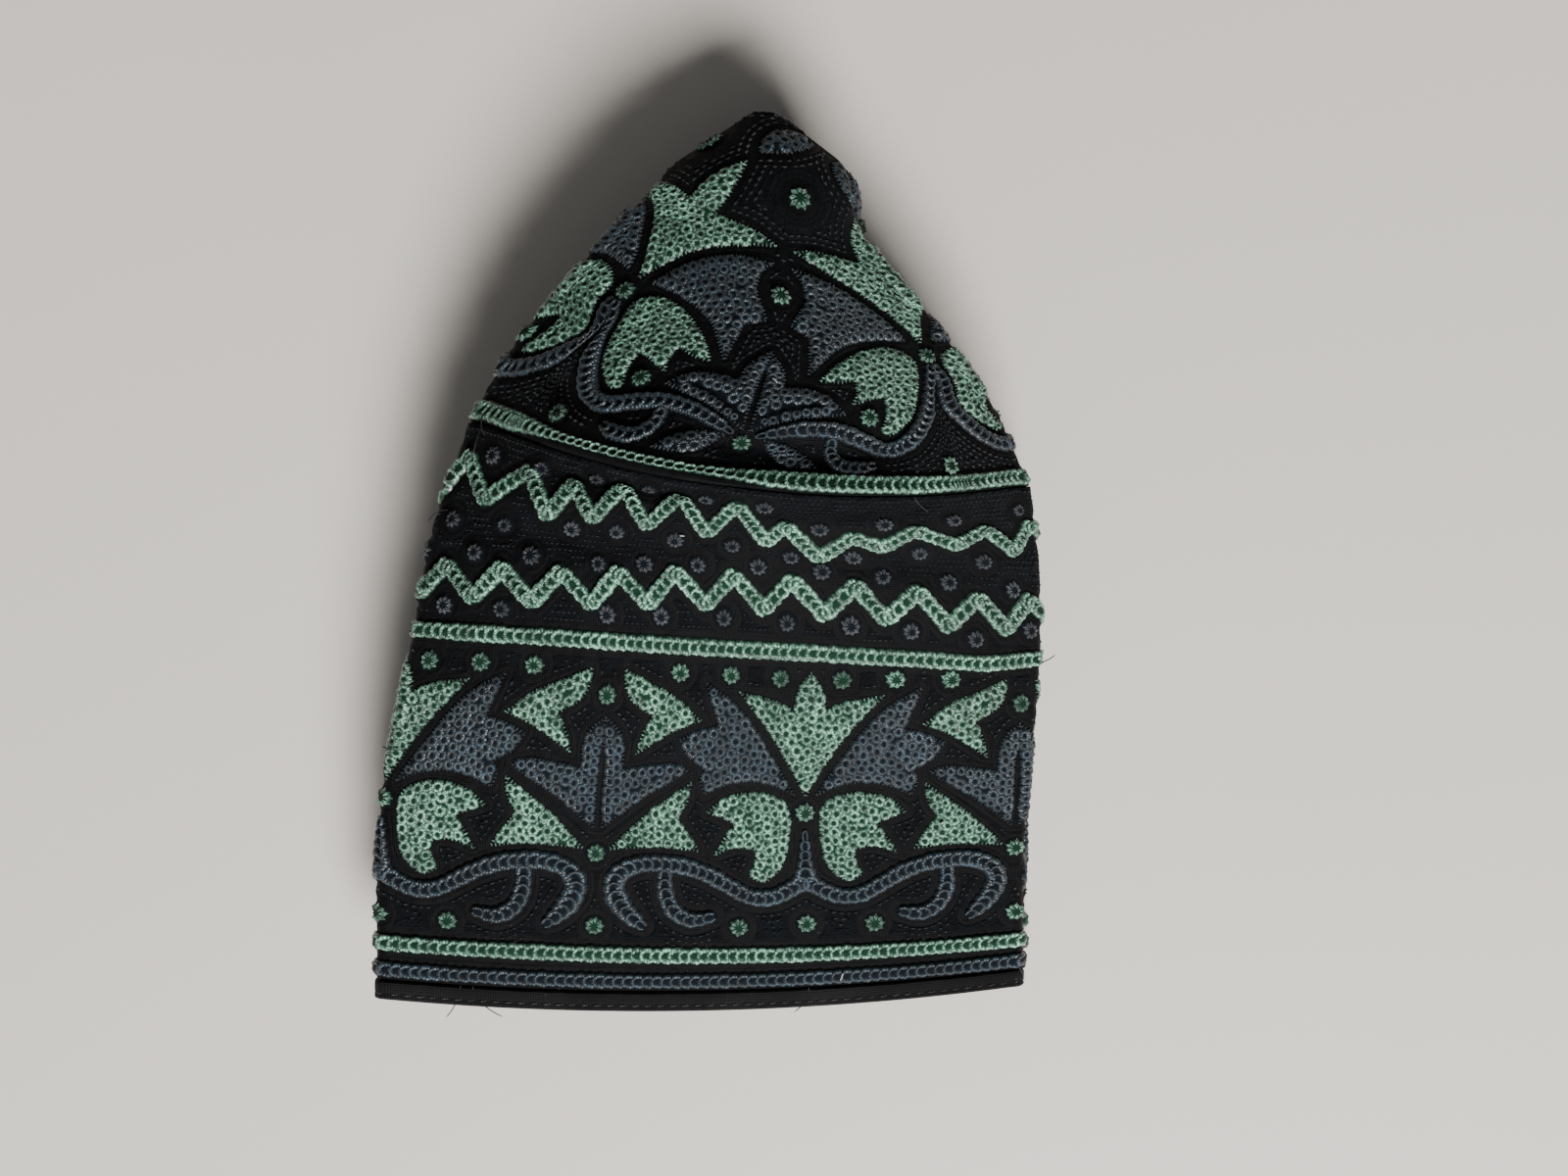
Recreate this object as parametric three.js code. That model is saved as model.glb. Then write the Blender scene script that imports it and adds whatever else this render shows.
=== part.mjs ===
// An embroidered kumma, the round cloth cap, as it lies when it is put away: pressed flat on its back with
// both sides tucked in, like a bag with gussets, and the crown still springy and domed.
// It is three pieces of cloth: the round crown, the side band and the narrow folded hem at the rim.
// Millimetres, +Z up. The crown's tip points along +Y, the open rim along -Y, and the back lies on Z = 0.
import * as THREE from "three";

// Driving sizes of the cap before it is folded
const HEAD_GIRTH = 570; // round the rim
const BAND_HEIGHT = 126; // from the rim to the crown seam, along the cloth
const CROWN_RADIUS = 93; // of the round crown piece
const HEM_HEIGHT = 4.6;
const CLOTH = 2; // thickness of the embroidered, corded cloth
const HEM_CLOTH = 2.5;
const SEAM_GAP = 0.3; // left open between two sewn pieces
const LAYER_PITCH = 4; // between the middles of two layers where the cloth doubles back
const TIP = { x: 12, y: 100.5, z: 33.5 };
const REST = CLOTH / 2; // height of the back layer's middle, so that its face lies on the table

const COLUMNS = "level lx ly lz rx ry rz rise dip nest tuck foot heel sag roll turn".split(" ");
const table = (rows) => rows.map((row) => Object.fromEntries(COLUMNS.map((column, i) => [column, row[i]])));

// The folded band, a row for each level above the rim. Left and right are the front face's fold edges.
//   level  height above the rim along the cloth
//   rise   how far the middle of the front face domes above the line between its edges
//   dip    how far its middle lies nearer the rim than its edges
//   nest   depth of the tucked gusset's inner edge below the front face
//   tuck   how far the gusset's inner edge lies nearer the rim than the front's edges
//   foot   height of the back face's edges, and heel the height of its middle
//   sag    how far the middle of the back lies nearer the rim than its edges
//   roll   how far a fold's edge reaches out, over half the height between its layers
//   turn   position round the cap, from the tulip axis, of the middle of the front face
const BAND_LEVELS = table([
  // level   lx     ly    lz    rx     ry    rz  rise  dip  nest  tuck  foot  heel  sag  roll   turn
  [    0, -73.7, -94.0,   27, 69.6, -94.0, 13.5,  2.5, 3.5,    5,  3.5,    1,    1,   2,    1, -23.8],
  [   44, -71.8, -52.0,   31, 70.0, -55.5,   17,    8,   1,    6,    4,    1,    1,   2,    1, -21.5],
  [ 81.5, -63.7, -13.5,   36, 72.5, -19.5,   22,   17, 0.5,    7,    6,  1.5,    1,   4,    1, -17.6],
  [  104, -59.1,   9.0,   37, 71.4,   2.0,   27,   24,   1,    9,  9.5,    3,    1,  10,    1, -15.6],
  [  126, -51.2,  32.9,   36, 68.8,  18.9,   32,   31, 9.5,  9.6,   15,    6,    1,  18,  1.2, -13.5],
]);

// The folded crown in the same way, a row for each radius of the flat round piece. Turn is in degrees here.
const CROWN_LEVELS = table([
  // level   lx     ly    lz    rx     ry    rz  rise  dip  nest  tuck  foot  heel  sag  roll   turn
  [   93, -51.2,  32.9,   36, 68.8,  18.9,   32,   31, 9.5,  9.6,   15,    6,    1,  18,  1.2,    -1],
  [   75, -42.2,  48.4, 37.5, 60.7,  35.9, 34.5,   24, 9.4,    8, 14.5,    9,  4.5,  16,  1.3,     0],
  [   55, -30.0,  63.5,   39, 48.8,  52.9,   37,   16, 8.7,  6.5, 13.5,   14, 10.5,  13,  1.5,     3],
  [   35, -16.8,  78.3, 39.5, 34.9,  69.5, 38.5,    9,   6,    5,  9.5, 19.5,   17,   9,  1.8,     9],
  [   16,  -2.6,  90.5,   40, 23.4,  86.5, 39.5,  2.5,   4,  4.2,    6, 25.5, 24.5,   5,  2.1,    22],
  [    0,    12, 100.5, 33.5,   12, 100.5, 33.5,    0,   0,    4,    0, 33.5, 33.5,   0,  2.1,    24],
]);
const BACK_FLARE = 1.6; // how far the back face reaches past the front face at each side
const BACK_LEAD = 2; // how far the back face's edges lie nearer the crown's tip
const TIP_START = 34; // radius below which the folded layers open out into the blunt tip
const TIP_ROUND = 13; // radius at which the section has become a plain oval
const TIP_SMOOTH = 60; // radius below which the cloth's directions are evened out
const TIP_PASSES = 10;
const TIP_SPREAD = 1.22; // half width of that oval over its radius on the cloth
const TIP_FLATNESS = 0.52; // height of that oval over its width

// Soft creases that show in the front face: from one end to the other, round the cap and along the cloth.
// Distances round the cap are from the tulip axis on the band, and from the crown's middle line on the crown.
const BAND_CREASES = [
  { s1: -78, v1: 106, s2: -22, v2: 102, width: 7, depth: -1.8 },
  { s1: -8, v1: 104, s2: 40, v2: 101, width: 6, depth: -1.6 },
  { s1: -60, v1: 121, s2: -18, v2: 122, width: 6, depth: -2.2 },
  { s1: -14, v1: 112, s2: 34, v2: 115, width: 7, depth: 1.6 },
  { s1: -88, v1: 77.5, s2: 50, v2: 77.5, width: 5, depth: -1.0 },
];
const CROWN_CREASES = [
  { s1: -12, v1: 85, s2: 34, v2: 84, width: 7, depth: -2.6 },
  { s1: -46, v1: 88, s2: -12, v2: 90, width: 7, depth: 1.6 },
  { s1: -50, v1: 78, s2: -34, v2: 82, width: 6, depth: -1.4 },
];

// Samples round the cap: close together at the six folds, wider between them
const FOLD_OFFSETS = [-6, -3.6, -2.2, -0.8, 0.8, 2.2, 3.6, 6];
const PANEL_SAMPLES = [5, 5, 11, 5, 5, 11]; // between one fold and the next
const SECTION_STEPS = 40; // points on each long stretch of a section before it is measured off

const mix = (a, b, t) => a + (b - a) * t;
const clamp01 = (t) => Math.min(1, Math.max(0, t));
const ease = (t) => clamp01(t) ** 2 * (3 - 2 * clamp01(t));

// A smooth curve through one column of a level table
function along(rows, level, column) {
  const order = rows[0].level < rows[rows.length - 1].level ? rows : [...rows].reverse();
  let i = order.findIndex((row) => row.level >= level);
  i = Math.min(Math.max(i, 1), order.length - 1);
  const slope = (k) => {
    const a = order[Math.max(k - 1, 0)];
    const b = order[Math.min(k + 1, order.length - 1)];
    return (b[column] - a[column]) / (b.level - a.level);
  };
  const [p, q] = [order[i - 1], order[i]];
  const span = q.level - p.level;
  const t = (level - p.level) / span;
  const bend = (t ** 3 - 2 * t ** 2 + t) * slope(i - 1) + (t ** 3 - t ** 2) * slope(i);
  return mix(p[column], q[column], ease(t)) + bend * span;
}

function levelAt(rows, level) {
  return Object.fromEntries(Object.keys(rows[0]).map((column) => [column, along(rows, level, column)]));
}

// Half a turn round a fold: points from one layer to the next, bulging towards side
function foldTurn(x, y, upper, lower, side, roll) {
  const radius = (upper - lower) / 2;
  return [0.15, 0.35, 0.5, 0.65, 0.85].map((t) => {
    const angle = Math.PI * t;
    const across = side * roll * radius * Math.sin(angle);
    return new THREE.Vector3(x + across, y, upper - radius + radius * Math.cos(angle));
  });
}

// The middle of the cloth right round one level, as a closed run of points from the middle of the front face
function foldedSection(at, gap) {
  const frontZ = (t) => mix(at.lz, at.rz, t) + at.rise * 4 * t * (1 - t);
  const frontY = (t) => mix(at.ly, at.ry, t) - at.dip * 4 * t * (1 - t);
  const backY = (t) => mix(at.ly, at.ry, t) + BACK_LEAD - at.sag * 4 * t * (1 - t);
  const front = (t, drop, dip) => new THREE.Vector3(mix(at.lx, at.rx, t), frontY(t) - dip, frontZ(t) - drop);
  const width = at.rx - at.lx;
  const half = (at.roll * LAYER_PITCH) / 2;
  const points = [];
  const side = (sign) => {
    const edge = sign > 0 ? 1 - half / width : half / width;
    const inner = 0.5 + (sign * gap) / width;
    const backEdge = (sign > 0 ? at.rx : at.lx) + sign * (BACK_FLARE - half);
    const run = [];
    for (let i = 0; i <= SECTION_STEPS; i++) run.push(front(mix(0.5, edge, i / SECTION_STEPS), 0, 0));
    const corner = front(edge, 0, 0);
    run.push(...foldTurn(corner.x, corner.y, corner.z, corner.z - LAYER_PITCH, sign, at.roll));
    const below = (t) => mix(LAYER_PITCH, at.nest, t);
    for (let i = 0; i <= SECTION_STEPS; i++) {
      const t = i / SECTION_STEPS;
      run.push(front(mix(edge, inner, t), below(t), (at.tuck - at.dip) * ease(t)));
    }
    const deep = run[run.length - 1];
    run.push(...foldTurn(deep.x, deep.y, deep.z, deep.z - LAYER_PITCH, -sign, at.roll));
    const low = new THREE.Vector3(deep.x, deep.y, deep.z - LAYER_PITCH);
    const foot = new THREE.Vector3(backEdge, backY(sign > 0 ? 1 : 0), at.foot + LAYER_PITCH);
    for (let i = 0; i <= SECTION_STEPS; i++) run.push(low.clone().lerp(foot, i / SECTION_STEPS));
    run.push(...foldTurn(foot.x, foot.y, foot.z, at.foot, sign, at.roll));
    for (let i = 0; i <= SECTION_STEPS; i++) {
      const t = i / SECTION_STEPS;
      const x = mix(backEdge, (at.lx + at.rx) / 2, t);
      const across = (x - at.lx) / width;
      run.push(new THREE.Vector3(x, backY(clamp01(across)), mix(at.heel, at.foot, (1 - t) ** 4)));
    }
    return run;
  };
  points.push(...side(1), ...side(-1).reverse().slice(1, -1));
  return points;
}

function measured(points) {
  const lengths = [0];
  for (let i = 1; i <= points.length; i++) {
    lengths.push(lengths[i - 1] + points[i - 1].distanceTo(points[i % points.length]));
  }
  return lengths;
}

// The tucked edges stop short of each other by the gap that gives the section its true length round
function fittedSection(at, girth) {
  let [low, high] = [0.5, (at.rx - at.lx) / 2 - LAYER_PITCH];
  for (let i = 0; i < 22; i++) {
    const gap = (low + high) / 2;
    const round = measured(foldedSection(at, gap)).pop();
    if (round > girth) low = gap;
    else high = gap;
  }
  return foldedSection(at, low);
}

function pointAt(points, lengths, share) {
  const total = lengths[lengths.length - 1];
  const target = (((share % 1) + 1) % 1) * total;
  let i = 1;
  while (lengths[i] < target) i++;
  const t = (target - lengths[i - 1]) / (lengths[i] - lengths[i - 1] || 1);
  return points[i - 1].clone().lerp(points[i % points.length], t);
}

// How far a soft crease lifts or sinks the cloth
function creaseLift(creases, s, v) {
  let lift = 0;
  for (const { s1, v1, s2, v2, width, depth } of creases) {
    const [ds, dv] = [s2 - s1, v2 - v1];
    const t = ((s - s1) * ds + (v - v1) * dv) / (ds * ds + dv * dv);
    const away = Math.hypot(s - s1 - clamp01(t) * ds, v - v1 - clamp01(t) * dv) / width;
    const ends = Math.sqrt(clamp01(1 - (2 * clamp01(t) - 1) ** 2));
    lift += depth * ends * Math.exp(-away * away * 2);
  }
  return lift;
}

// One ring of points round the cap at a level
function ring(rows, level, girth, creases, unitOfTurn) {
  const at = levelAt(rows, level);
  const points = fittedSection(at, girth);
  const lengths = measured(points);
  return sampleShares(lengths).map((share) => {
    const p = pointAt(points, lengths, share);
    const around = (share % 1) - Math.round(share % 1);
    const onFront = ease((0.135 - Math.abs(around)) / 0.03);
    p.z += onFront * creaseLift(creases, around * girth + at.turn * unitOfTurn, level);
    return p;
  });
}

// Where the six folds lie round a section, as shares of the way round
function foldShares(lengths) {
  const total = lengths[lengths.length - 1];
  const stretch = SECTION_STEPS + 1;
  const turn = 5;
  const middles = [stretch + 2, 2 * stretch + turn + 2, 3 * stretch + 2 * turn + 2];
  const marks = middles.map((i) => lengths[i] / total);
  return [...marks, ...marks.map((share) => 1 - share)].sort((a, b) => a - b);
}

// The shares of the way round at which a section is sampled: round each fold, then evenly between folds
function sampleShares(lengths) {
  const folds = foldShares(lengths);
  const girth = lengths[lengths.length - 1];
  const panels = folds.map((fold, i) => (i + 1 < folds.length ? folds[i + 1] : folds[0] + 1) - fold);
  const reach = FOLD_OFFSETS[FOLD_OFFSETS.length - 1];
  const squeeze = Math.min(1, (0.42 * Math.min(...panels) * girth) / reach) / girth;
  return folds.flatMap((fold, i) => {
    const shares = FOLD_OFFSETS.map((offset) => fold + offset * squeeze);
    const from = fold + reach * squeeze;
    const to = fold + panels[i] - reach * squeeze;
    for (let k = 1; k <= PANEL_SAMPLES[i]; k++) shares.push(mix(from, to, k / (PANEL_SAMPLES[i] + 1)));
    return shares;
  });
}

// A closed run of points or directions with each one drawn towards its neighbours
function relaxed(run, passes) {
  let now = run;
  for (let pass = 0; pass < passes; pass++) {
    const last = now;
    now = last.map((p, i) => {
      const before = last[(i + last.length - 1) % last.length];
      const after = last[(i + 1) % last.length];
      return p.clone().multiplyScalar(2).add(before).add(after).divideScalar(4);
    });
  }
  return now;
}

// Unit directions out of the cloth at each point of a net of rings
function outward(rings) {
  const count = rings[0].length;
  return rings.map((here, j) =>
    here.map((_, i) => {
      const round = here[(i + 1) % count].clone().sub(here[(i + count - 1) % count]);
      const up = rings[Math.min(j + 1, rings.length - 1)][i].clone().sub(rings[Math.max(j - 1, 0)][i]);
      return round.cross(up).normalize();
    }),
  );
}

// Two pieces that meet at a seam share its directions, so that the gap between them stays open all round
function shareSeam(lower, upper) {
  const below = lower[lower.length - 1];
  const above = upper[0];
  below.forEach((direction, i) => {
    direction.add(above[i]).normalize();
    above[i].copy(direction);
  });
}

const centreOf = (here) => here.reduce((sum, p) => sum.add(p), new THREE.Vector3()).divideScalar(here.length);

// A closed wall from a net of rings. With a tip, the last ring closes to a point on each face.
function wall(rings, normals, thickness, tip) {
  const count = rings[0].length;
  const positions = [];
  const index = [];
  const layer = (offset) => {
    const first = positions.length / 3;
    rings.forEach((here, j) => {
      here.forEach((p, i) => positions.push(...p.clone().addScaledVector(normals[j][i], offset).toArray()));
    });
    return first;
  };
  const outer = layer(thickness / 2);
  const inner = layer(-thickness / 2);
  const quad = (a, b, c, d) => index.push(a, b, c, a, c, d);
  for (let j = 0; j + 1 < rings.length; j++) {
    for (let i = 0; i < count; i++) {
      const [here, next] = [j * count + i, j * count + ((i + 1) % count)];
      quad(outer + here, outer + next, outer + next + count, outer + here + count);
      quad(inner + here + count, inner + next + count, inner + next, inner + here);
    }
  }
  const last = (rings.length - 1) * count;
  for (let i = 0; i < count; i++) {
    const next = (i + 1) % count;
    quad(inner + i, inner + next, outer + next, outer + i);
    if (!tip) quad(outer + last + i, outer + last + next, inner + last + next, inner + last + i);
  }
  if (tip) {
    const top = positions.length / 3;
    positions.push(...tip.clone().toArray());
    const under = positions.length / 3;
    positions.push(...centreOf(rings[rings.length - 1]).lerp(tip, 0.15).toArray());
    for (let i = 0; i < count; i++) {
      const next = (i + 1) % count;
      index.push(outer + last + i, outer + last + next, top);
      index.push(inner + last + next, inner + last + i, under);
    }
  }
  const geometry = new THREE.BufferGeometry();
  geometry.setAttribute("position", new THREE.Float32BufferAttribute(positions, 3));
  geometry.setIndex(index);
  geometry.computeVertexNormals();
  return geometry;
}

function bandRing(level) {
  return ring(BAND_LEVELS, level, HEAD_GIRTH, BAND_CREASES, 1);
}

// The crown's rings are a little shorter than those of a flat round piece, because it is eased to the band
function crownFolded(radius) {
  const degree = (Math.PI / 180) * radius;
  return ring(CROWN_LEVELS, radius, HEAD_GIRTH * (radius / CROWN_RADIUS), CROWN_CREASES, degree);
}

// Near the tip the folded section opens out into a plain oval that shrinks to the tip
function crownRing(radius) {
  if (radius >= TIP_START) return crownFolded(radius);
  const tip = new THREE.Vector3(TIP.x, TIP.y, TIP.z);
  const middle = tip.clone().lerp(centreOf(crownFolded(TIP_START)), radius / TIP_START);
  const level = Math.max(radius, TIP_ROUND);
  const girth = HEAD_GIRTH * (level / CROWN_RADIUS);
  const shares = sampleShares(measured(fittedSection(levelAt(CROWN_LEVELS, level), girth)));
  const oval = ease((TIP_START - radius) / (TIP_START - TIP_ROUND));
  const reach = radius * TIP_SPREAD;
  const opened = crownFolded(level).map((p, i) => {
    const angle = 2 * Math.PI * shares[i];
    const round = new THREE.Vector3(
      middle.x + reach * Math.sin(angle),
      middle.y,
      middle.z + TIP_FLATNESS * reach * Math.cos(angle),
    );
    return p.lerp(round, oval);
  });
  return relaxed(opened, TIP_PASSES);
}

const levels = (from, to, step) => {
  const count = Math.max(1, Math.round(Math.abs(to - from) / step));
  return Array.from({ length: count + 1 }, (_, i) => mix(from, to, i / count));
};

const BLACK_CLOTH = new THREE.MeshStandardMaterial({ name: "black_cloth", color: 0x1b1a1e, roughness: 0.9 });
const HEM_TAPE = new THREE.MeshStandardMaterial({ name: "hem_tape", color: 0x151417, roughness: 0.85 });

function piece(name, geometry, material) {
  const mesh = new THREE.Mesh(geometry, material);
  mesh.name = name;
  return mesh;
}

const HEM_RINGS = [0, HEM_HEIGHT].map(bandRing);
const BAND_RINGS = levels(HEM_HEIGHT + SEAM_GAP, BAND_HEIGHT - SEAM_GAP, 9.5).map(bandRing);
const CROWN_RADII = [...levels(CROWN_RADIUS, TIP_START, 11), 28, 23, 18, TIP_ROUND, 9, 5];
const CROWN_RINGS = CROWN_RADII.map(crownRing);
const [HEM_OUT, BAND_OUT, CROWN_SHARP] = [HEM_RINGS, BAND_RINGS, CROWN_RINGS].map(outward);
const CROWN_OUT = CROWN_SHARP.map((run, j) => (CROWN_RADII[j] < TIP_SMOOTH ? relaxed(run, TIP_PASSES) : run));
shareSeam(HEM_OUT, BAND_OUT);
shareSeam(BAND_OUT, CROWN_OUT);

function hem() {
  return piece("hem", wall(HEM_RINGS, HEM_OUT, HEM_CLOTH), HEM_TAPE);
}

function band() {
  return piece("band", wall(BAND_RINGS, BAND_OUT, CLOTH), BLACK_CLOTH);
}

function crown() {
  const tip = new THREE.Vector3(TIP.x, TIP.y + REST, TIP.z);
  return piece("crown", wall(CROWN_RINGS, CROWN_OUT, CLOTH, tip), BLACK_CLOTH);
}

const kumma = new THREE.Group();
kumma.add(crown(), band(), hem());

// The origin is the middle of the cap's footprint, on the table
const box = new THREE.Box3().setFromObject(kumma);
kumma.position.set(-(box.min.x + box.max.x) / 2, -(box.min.y + box.max.y) / 2, -box.min.z);

export default kumma;
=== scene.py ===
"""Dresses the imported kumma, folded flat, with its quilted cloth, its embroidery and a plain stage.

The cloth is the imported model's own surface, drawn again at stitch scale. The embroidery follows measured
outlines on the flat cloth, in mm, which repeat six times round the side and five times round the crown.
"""

import math

import bpy
import numpy as np
from bpy.props import FloatProperty, FloatVectorProperty, IntProperty, PointerProperty
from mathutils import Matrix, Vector


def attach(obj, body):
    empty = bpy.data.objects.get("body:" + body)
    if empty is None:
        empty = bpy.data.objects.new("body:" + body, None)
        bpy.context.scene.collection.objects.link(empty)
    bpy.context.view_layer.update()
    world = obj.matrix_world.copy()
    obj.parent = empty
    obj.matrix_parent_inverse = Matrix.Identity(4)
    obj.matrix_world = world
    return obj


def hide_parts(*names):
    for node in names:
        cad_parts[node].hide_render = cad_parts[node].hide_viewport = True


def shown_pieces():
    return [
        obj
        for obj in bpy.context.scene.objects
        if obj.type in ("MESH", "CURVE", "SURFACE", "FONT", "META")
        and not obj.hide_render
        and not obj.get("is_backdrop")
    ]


bl_info = {
    "name": "Kumma, folded flat",
    "version": (1, 0, 0),
    "blender": (4, 5, 0),
    "location": "3D View > Sidebar > Kumma",
    "description": "Cloth, embroidery and stage for a kumma lying folded flat",
    "category": "Object",
}

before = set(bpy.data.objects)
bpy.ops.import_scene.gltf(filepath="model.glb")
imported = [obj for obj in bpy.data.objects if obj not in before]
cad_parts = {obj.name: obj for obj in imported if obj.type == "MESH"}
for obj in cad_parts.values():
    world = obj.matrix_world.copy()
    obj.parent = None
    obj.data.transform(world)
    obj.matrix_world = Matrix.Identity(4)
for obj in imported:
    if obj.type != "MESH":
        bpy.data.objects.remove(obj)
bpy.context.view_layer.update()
MM = 0.001
COLOURS = ("green", "blue")
# Stands for a distance, in mm, where no stitching is near
FAR = 60.0

# The folded surface, in mm on the table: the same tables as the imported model
HEAD_GIRTH = 570.0
HALF_GIRTH = HEAD_GIRTH / 2
BAND_HEIGHT = 126.0
HEM_HEIGHT = 4.6
CROWN_RADIUS = 93.0
SEAM_GAP = 0.3
LAYER_PITCH = 4.0
TIP = np.array([12.0, 100.5, 33.5])
TIP_START, TIP_ROUND, TIP_SPREAD, TIP_FLATNESS = 34.0, 13.0, 1.22, 0.52
TIP_EVENING = 2.6
BACK_FLARE, BACK_LEAD = 1.6, 2.0
FRAME_SHIFT = np.array([0.830, -1.871, 0.252])
COLUMNS = "level lx ly lz rx ry rz rise dip nest tuck foot heel sag roll turn".split()
BAND_LEVELS = [
    [0, -73.7, -94.0, 27, 69.6, -94.0, 13.5, 2.5, 3.5, 5, 3.5, 1, 1, 2, 1, -23.8],
    [44, -71.8, -52.0, 31, 70.0, -55.5, 17, 8, 1, 6, 4, 1, 1, 2, 1, -21.5],
    [81.5, -63.7, -13.5, 36, 72.5, -19.5, 22, 17, 0.5, 7, 6, 1.5, 1, 4, 1, -17.6],
    [104, -59.1, 9.0, 37, 71.4, 2.0, 27, 24, 1, 9, 9.5, 3, 1, 10, 1, -15.6],
    [126, -51.2, 32.9, 36, 68.8, 18.9, 32, 31, 9.5, 9.6, 15, 6, 1, 18, 1.2, -13.5],
]
CROWN_LEVELS = [
    [93, -51.2, 32.9, 36, 68.8, 18.9, 32, 31, 9.5, 9.6, 15, 6, 1, 18, 1.2, -1],
    [75, -42.2, 48.4, 37.5, 60.7, 35.9, 34.5, 24, 9.4, 8, 14.5, 9, 4.5, 16, 1.3, 0],
    [55, -30.0, 63.5, 39, 48.8, 52.9, 37, 16, 8.7, 6.5, 13.5, 14, 10.5, 13, 1.5, 3],
    [35, -16.8, 78.3, 39.5, 34.9, 69.5, 38.5, 9, 6, 5, 9.5, 19.5, 17, 9, 1.8, 9],
    [16, -2.6, 90.5, 40, 23.4, 86.5, 39.5, 2.5, 4, 4.2, 6, 25.5, 24.5, 5, 2.1, 22],
    [0, 12, 100.5, 33.5, 12, 100.5, 33.5, 0, 0, 4, 0, 33.5, 33.5, 0, 2.1, 24],
]
BAND_CREASES = [(-78, 106, -22, 102, 7, -1.8), (-8, 104, 40, 101, 6, -1.6), (-60, 121, -18, 122, 6, -2.2),
                (-14, 112, 34, 115, 7, 1.6), (-88, 77.5, 50, 77.5, 5, -1.0)]
CROWN_CREASES = [(-12, 85, 34, 84, 7, -2.6), (-46, 88, -12, 90, 7, 1.6), (-50, 78, -34, 82, 6, -1.4)]
# Creases stay on the front, which ends at this share of the way round, and fade out over the last bit
FRONT_EDGE, FRONT_FADE = 0.135, 0.03

# The embroidery chart, in mm on the flat cloth. In an outline, a third number 0 marks a sharp tip.
# In a line of chain stitches, the third number is its width.
REPEAT = 95.0
HALF = REPEAT / 2
SECTOR = 72.0
# Side wall, measured from the axis of the green tulip and up the cloth from the rim
BAND_TULIP = [(0, 50.5, 0), (2.5, 55.2), (6.0, 60.8), (10.2, 66.6), (16.4, 73.3, 0), (10, 72.2), (5.6, 70.9),
              (3.4, 69.4, 0), (3.2, 72.3), (1.9, 75.4), (0, 78.1, 0)]
BAND_WING = [(2.2, 50.7, 0), (4.8, 55), (8.6, 60.4), (12.6, 66), (15.9, 69.6), (19.4, 72.3), (24.4, 75.1, 0),
             (22.3, 69.5), (20.8, 65.8, 0), (25, 65), (30, 62.9, 0), (27.6, 59.2), (23.4, 56.6, 0),
             (24.6, 53.8), (23.5, 50.9, 0), (18.8, 53), (13, 54), (7, 53)]
BAND_LOW_LEAF = [(3.4, 46.8), (3.7, 40), (4.8, 35), (7.5, 31.8), (10, 30.6), (12.8, 32.2, 0), (11.4, 35),
                 (11.1, 38.2, 0), (15.5, 38.8), (20.8, 36.9, 0), (18.4, 41), (15.8, 44.3, 0),
                 (19.3, 45.7), (22.6, 46.9, 0), (19.4, 49.6), (15, 51.2), (9.5, 51.3), (5.5, 49.8)]
BAND_STEM = [(0, 42.8, 0.6), (0, 40, 2.0), (0, 36, 3.0), (0, 31.6, 4.6)]
BAND_VINE = [(0, 31.0, 4.2), (3.2, 29, 3.9), (7.5, 27, 3.8), (12.5, 27.2, 3.8), (17.5, 29.9, 3.8),
             (22.5, 32.7, 3.8), (28.7, 34.6, 3.8), (35.6, 35, 3.9), (41, 33.4, 4.2), (43.3, 30, 4.8),
             (42, 25.8, 4.8), (39.2, 22.4, 3.8), (36.6, 20.2, 1.4)]
BAND_CURL = [(31.8, 33.5, 3.0), (31.7, 28.5, 3.5), (30, 24.2, 3.7), (26, 21.8, 3.6), (21.2, 22.6, 2.2)]
# Side wall, measured from the axis of the blue tulip, half a repeat away
BAND_BLUE_TULIP = [(0.8, 42.6, 0), (5, 46), (10.6, 50.2), (16.2, 53.5), (20.2, 56.2, 0), (16.5, 57.5),
                   (10, 56.8), (4.8, 55.8, 0), (4.8, 61), (3.2, 64.6), (0, 67.1, 0), (0, 62, 0),
                   (0.75, 58), (0.8, 50)]
BAND_SIDE_LEAF = [(2.8, 38, 0), (8, 43.3), (12.5, 47.3), (17, 50.6), (21, 53.6, 0), (20.3, 49), (18, 45.7, 0),
                  (21, 41.6), (23.4, 37.8, 0), (16.5, 38.7), (10, 38.6)]
BAND_TOP_LEAF = [(3.9, 77.2, 0), (9.4, 74.6), (16, 71.8), (22.5, 67, 0), (17, 65), (12.8, 62.6),
                 (7.6, 59.2, 0), (8.8, 63.5), (11, 67.6, 0), (6.2, 70.4), (4.2, 73.6)]
BAND_TULIP_EYES = [(0, 46.9), (0, 20.4), (15.3, 19.9), (6.8, 76.5), (18.6, 76.9), (30.6, 77)]
BAND_BLUE_EYES = [(0, 37), (0, 71.6), (0, 20.2)]
# Crown, measured from the axis of the blue tulip and out from the middle of the crown
CROWN_WING = [(28, 44.7, 0), (24, 42.2), (18, 39.6), (10.5, 37.6), (2.1, 37.1, 0), (4.6, 40.2),
              (5.6, 43.9, 0), (4.2, 47.6), (2.6, 51.3, 0), (5, 52.3), (7.2, 53.2, 0), (8, 57.6),
              (9, 63.2, 0), (11, 59), (13.9, 53.6), (19.4, 49.1), (25, 46.2)]
CROWN_LEAF = [(30, 48.8), (24.7, 48.8), (19.6, 52), (14.8, 57.8), (11.6, 64, 0), (16, 62.8), (19, 60.8, 0),
              (20.4, 64), (20.2, 67.6, 0), (23, 65.3), (26.6, 62.4, 0), (28.4, 67), (28.2, 71.1), (30, 71.7),
              (31.4, 70.4), (33.9, 65.2), (33.8, 58.5), (32.3, 51.8)]
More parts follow.
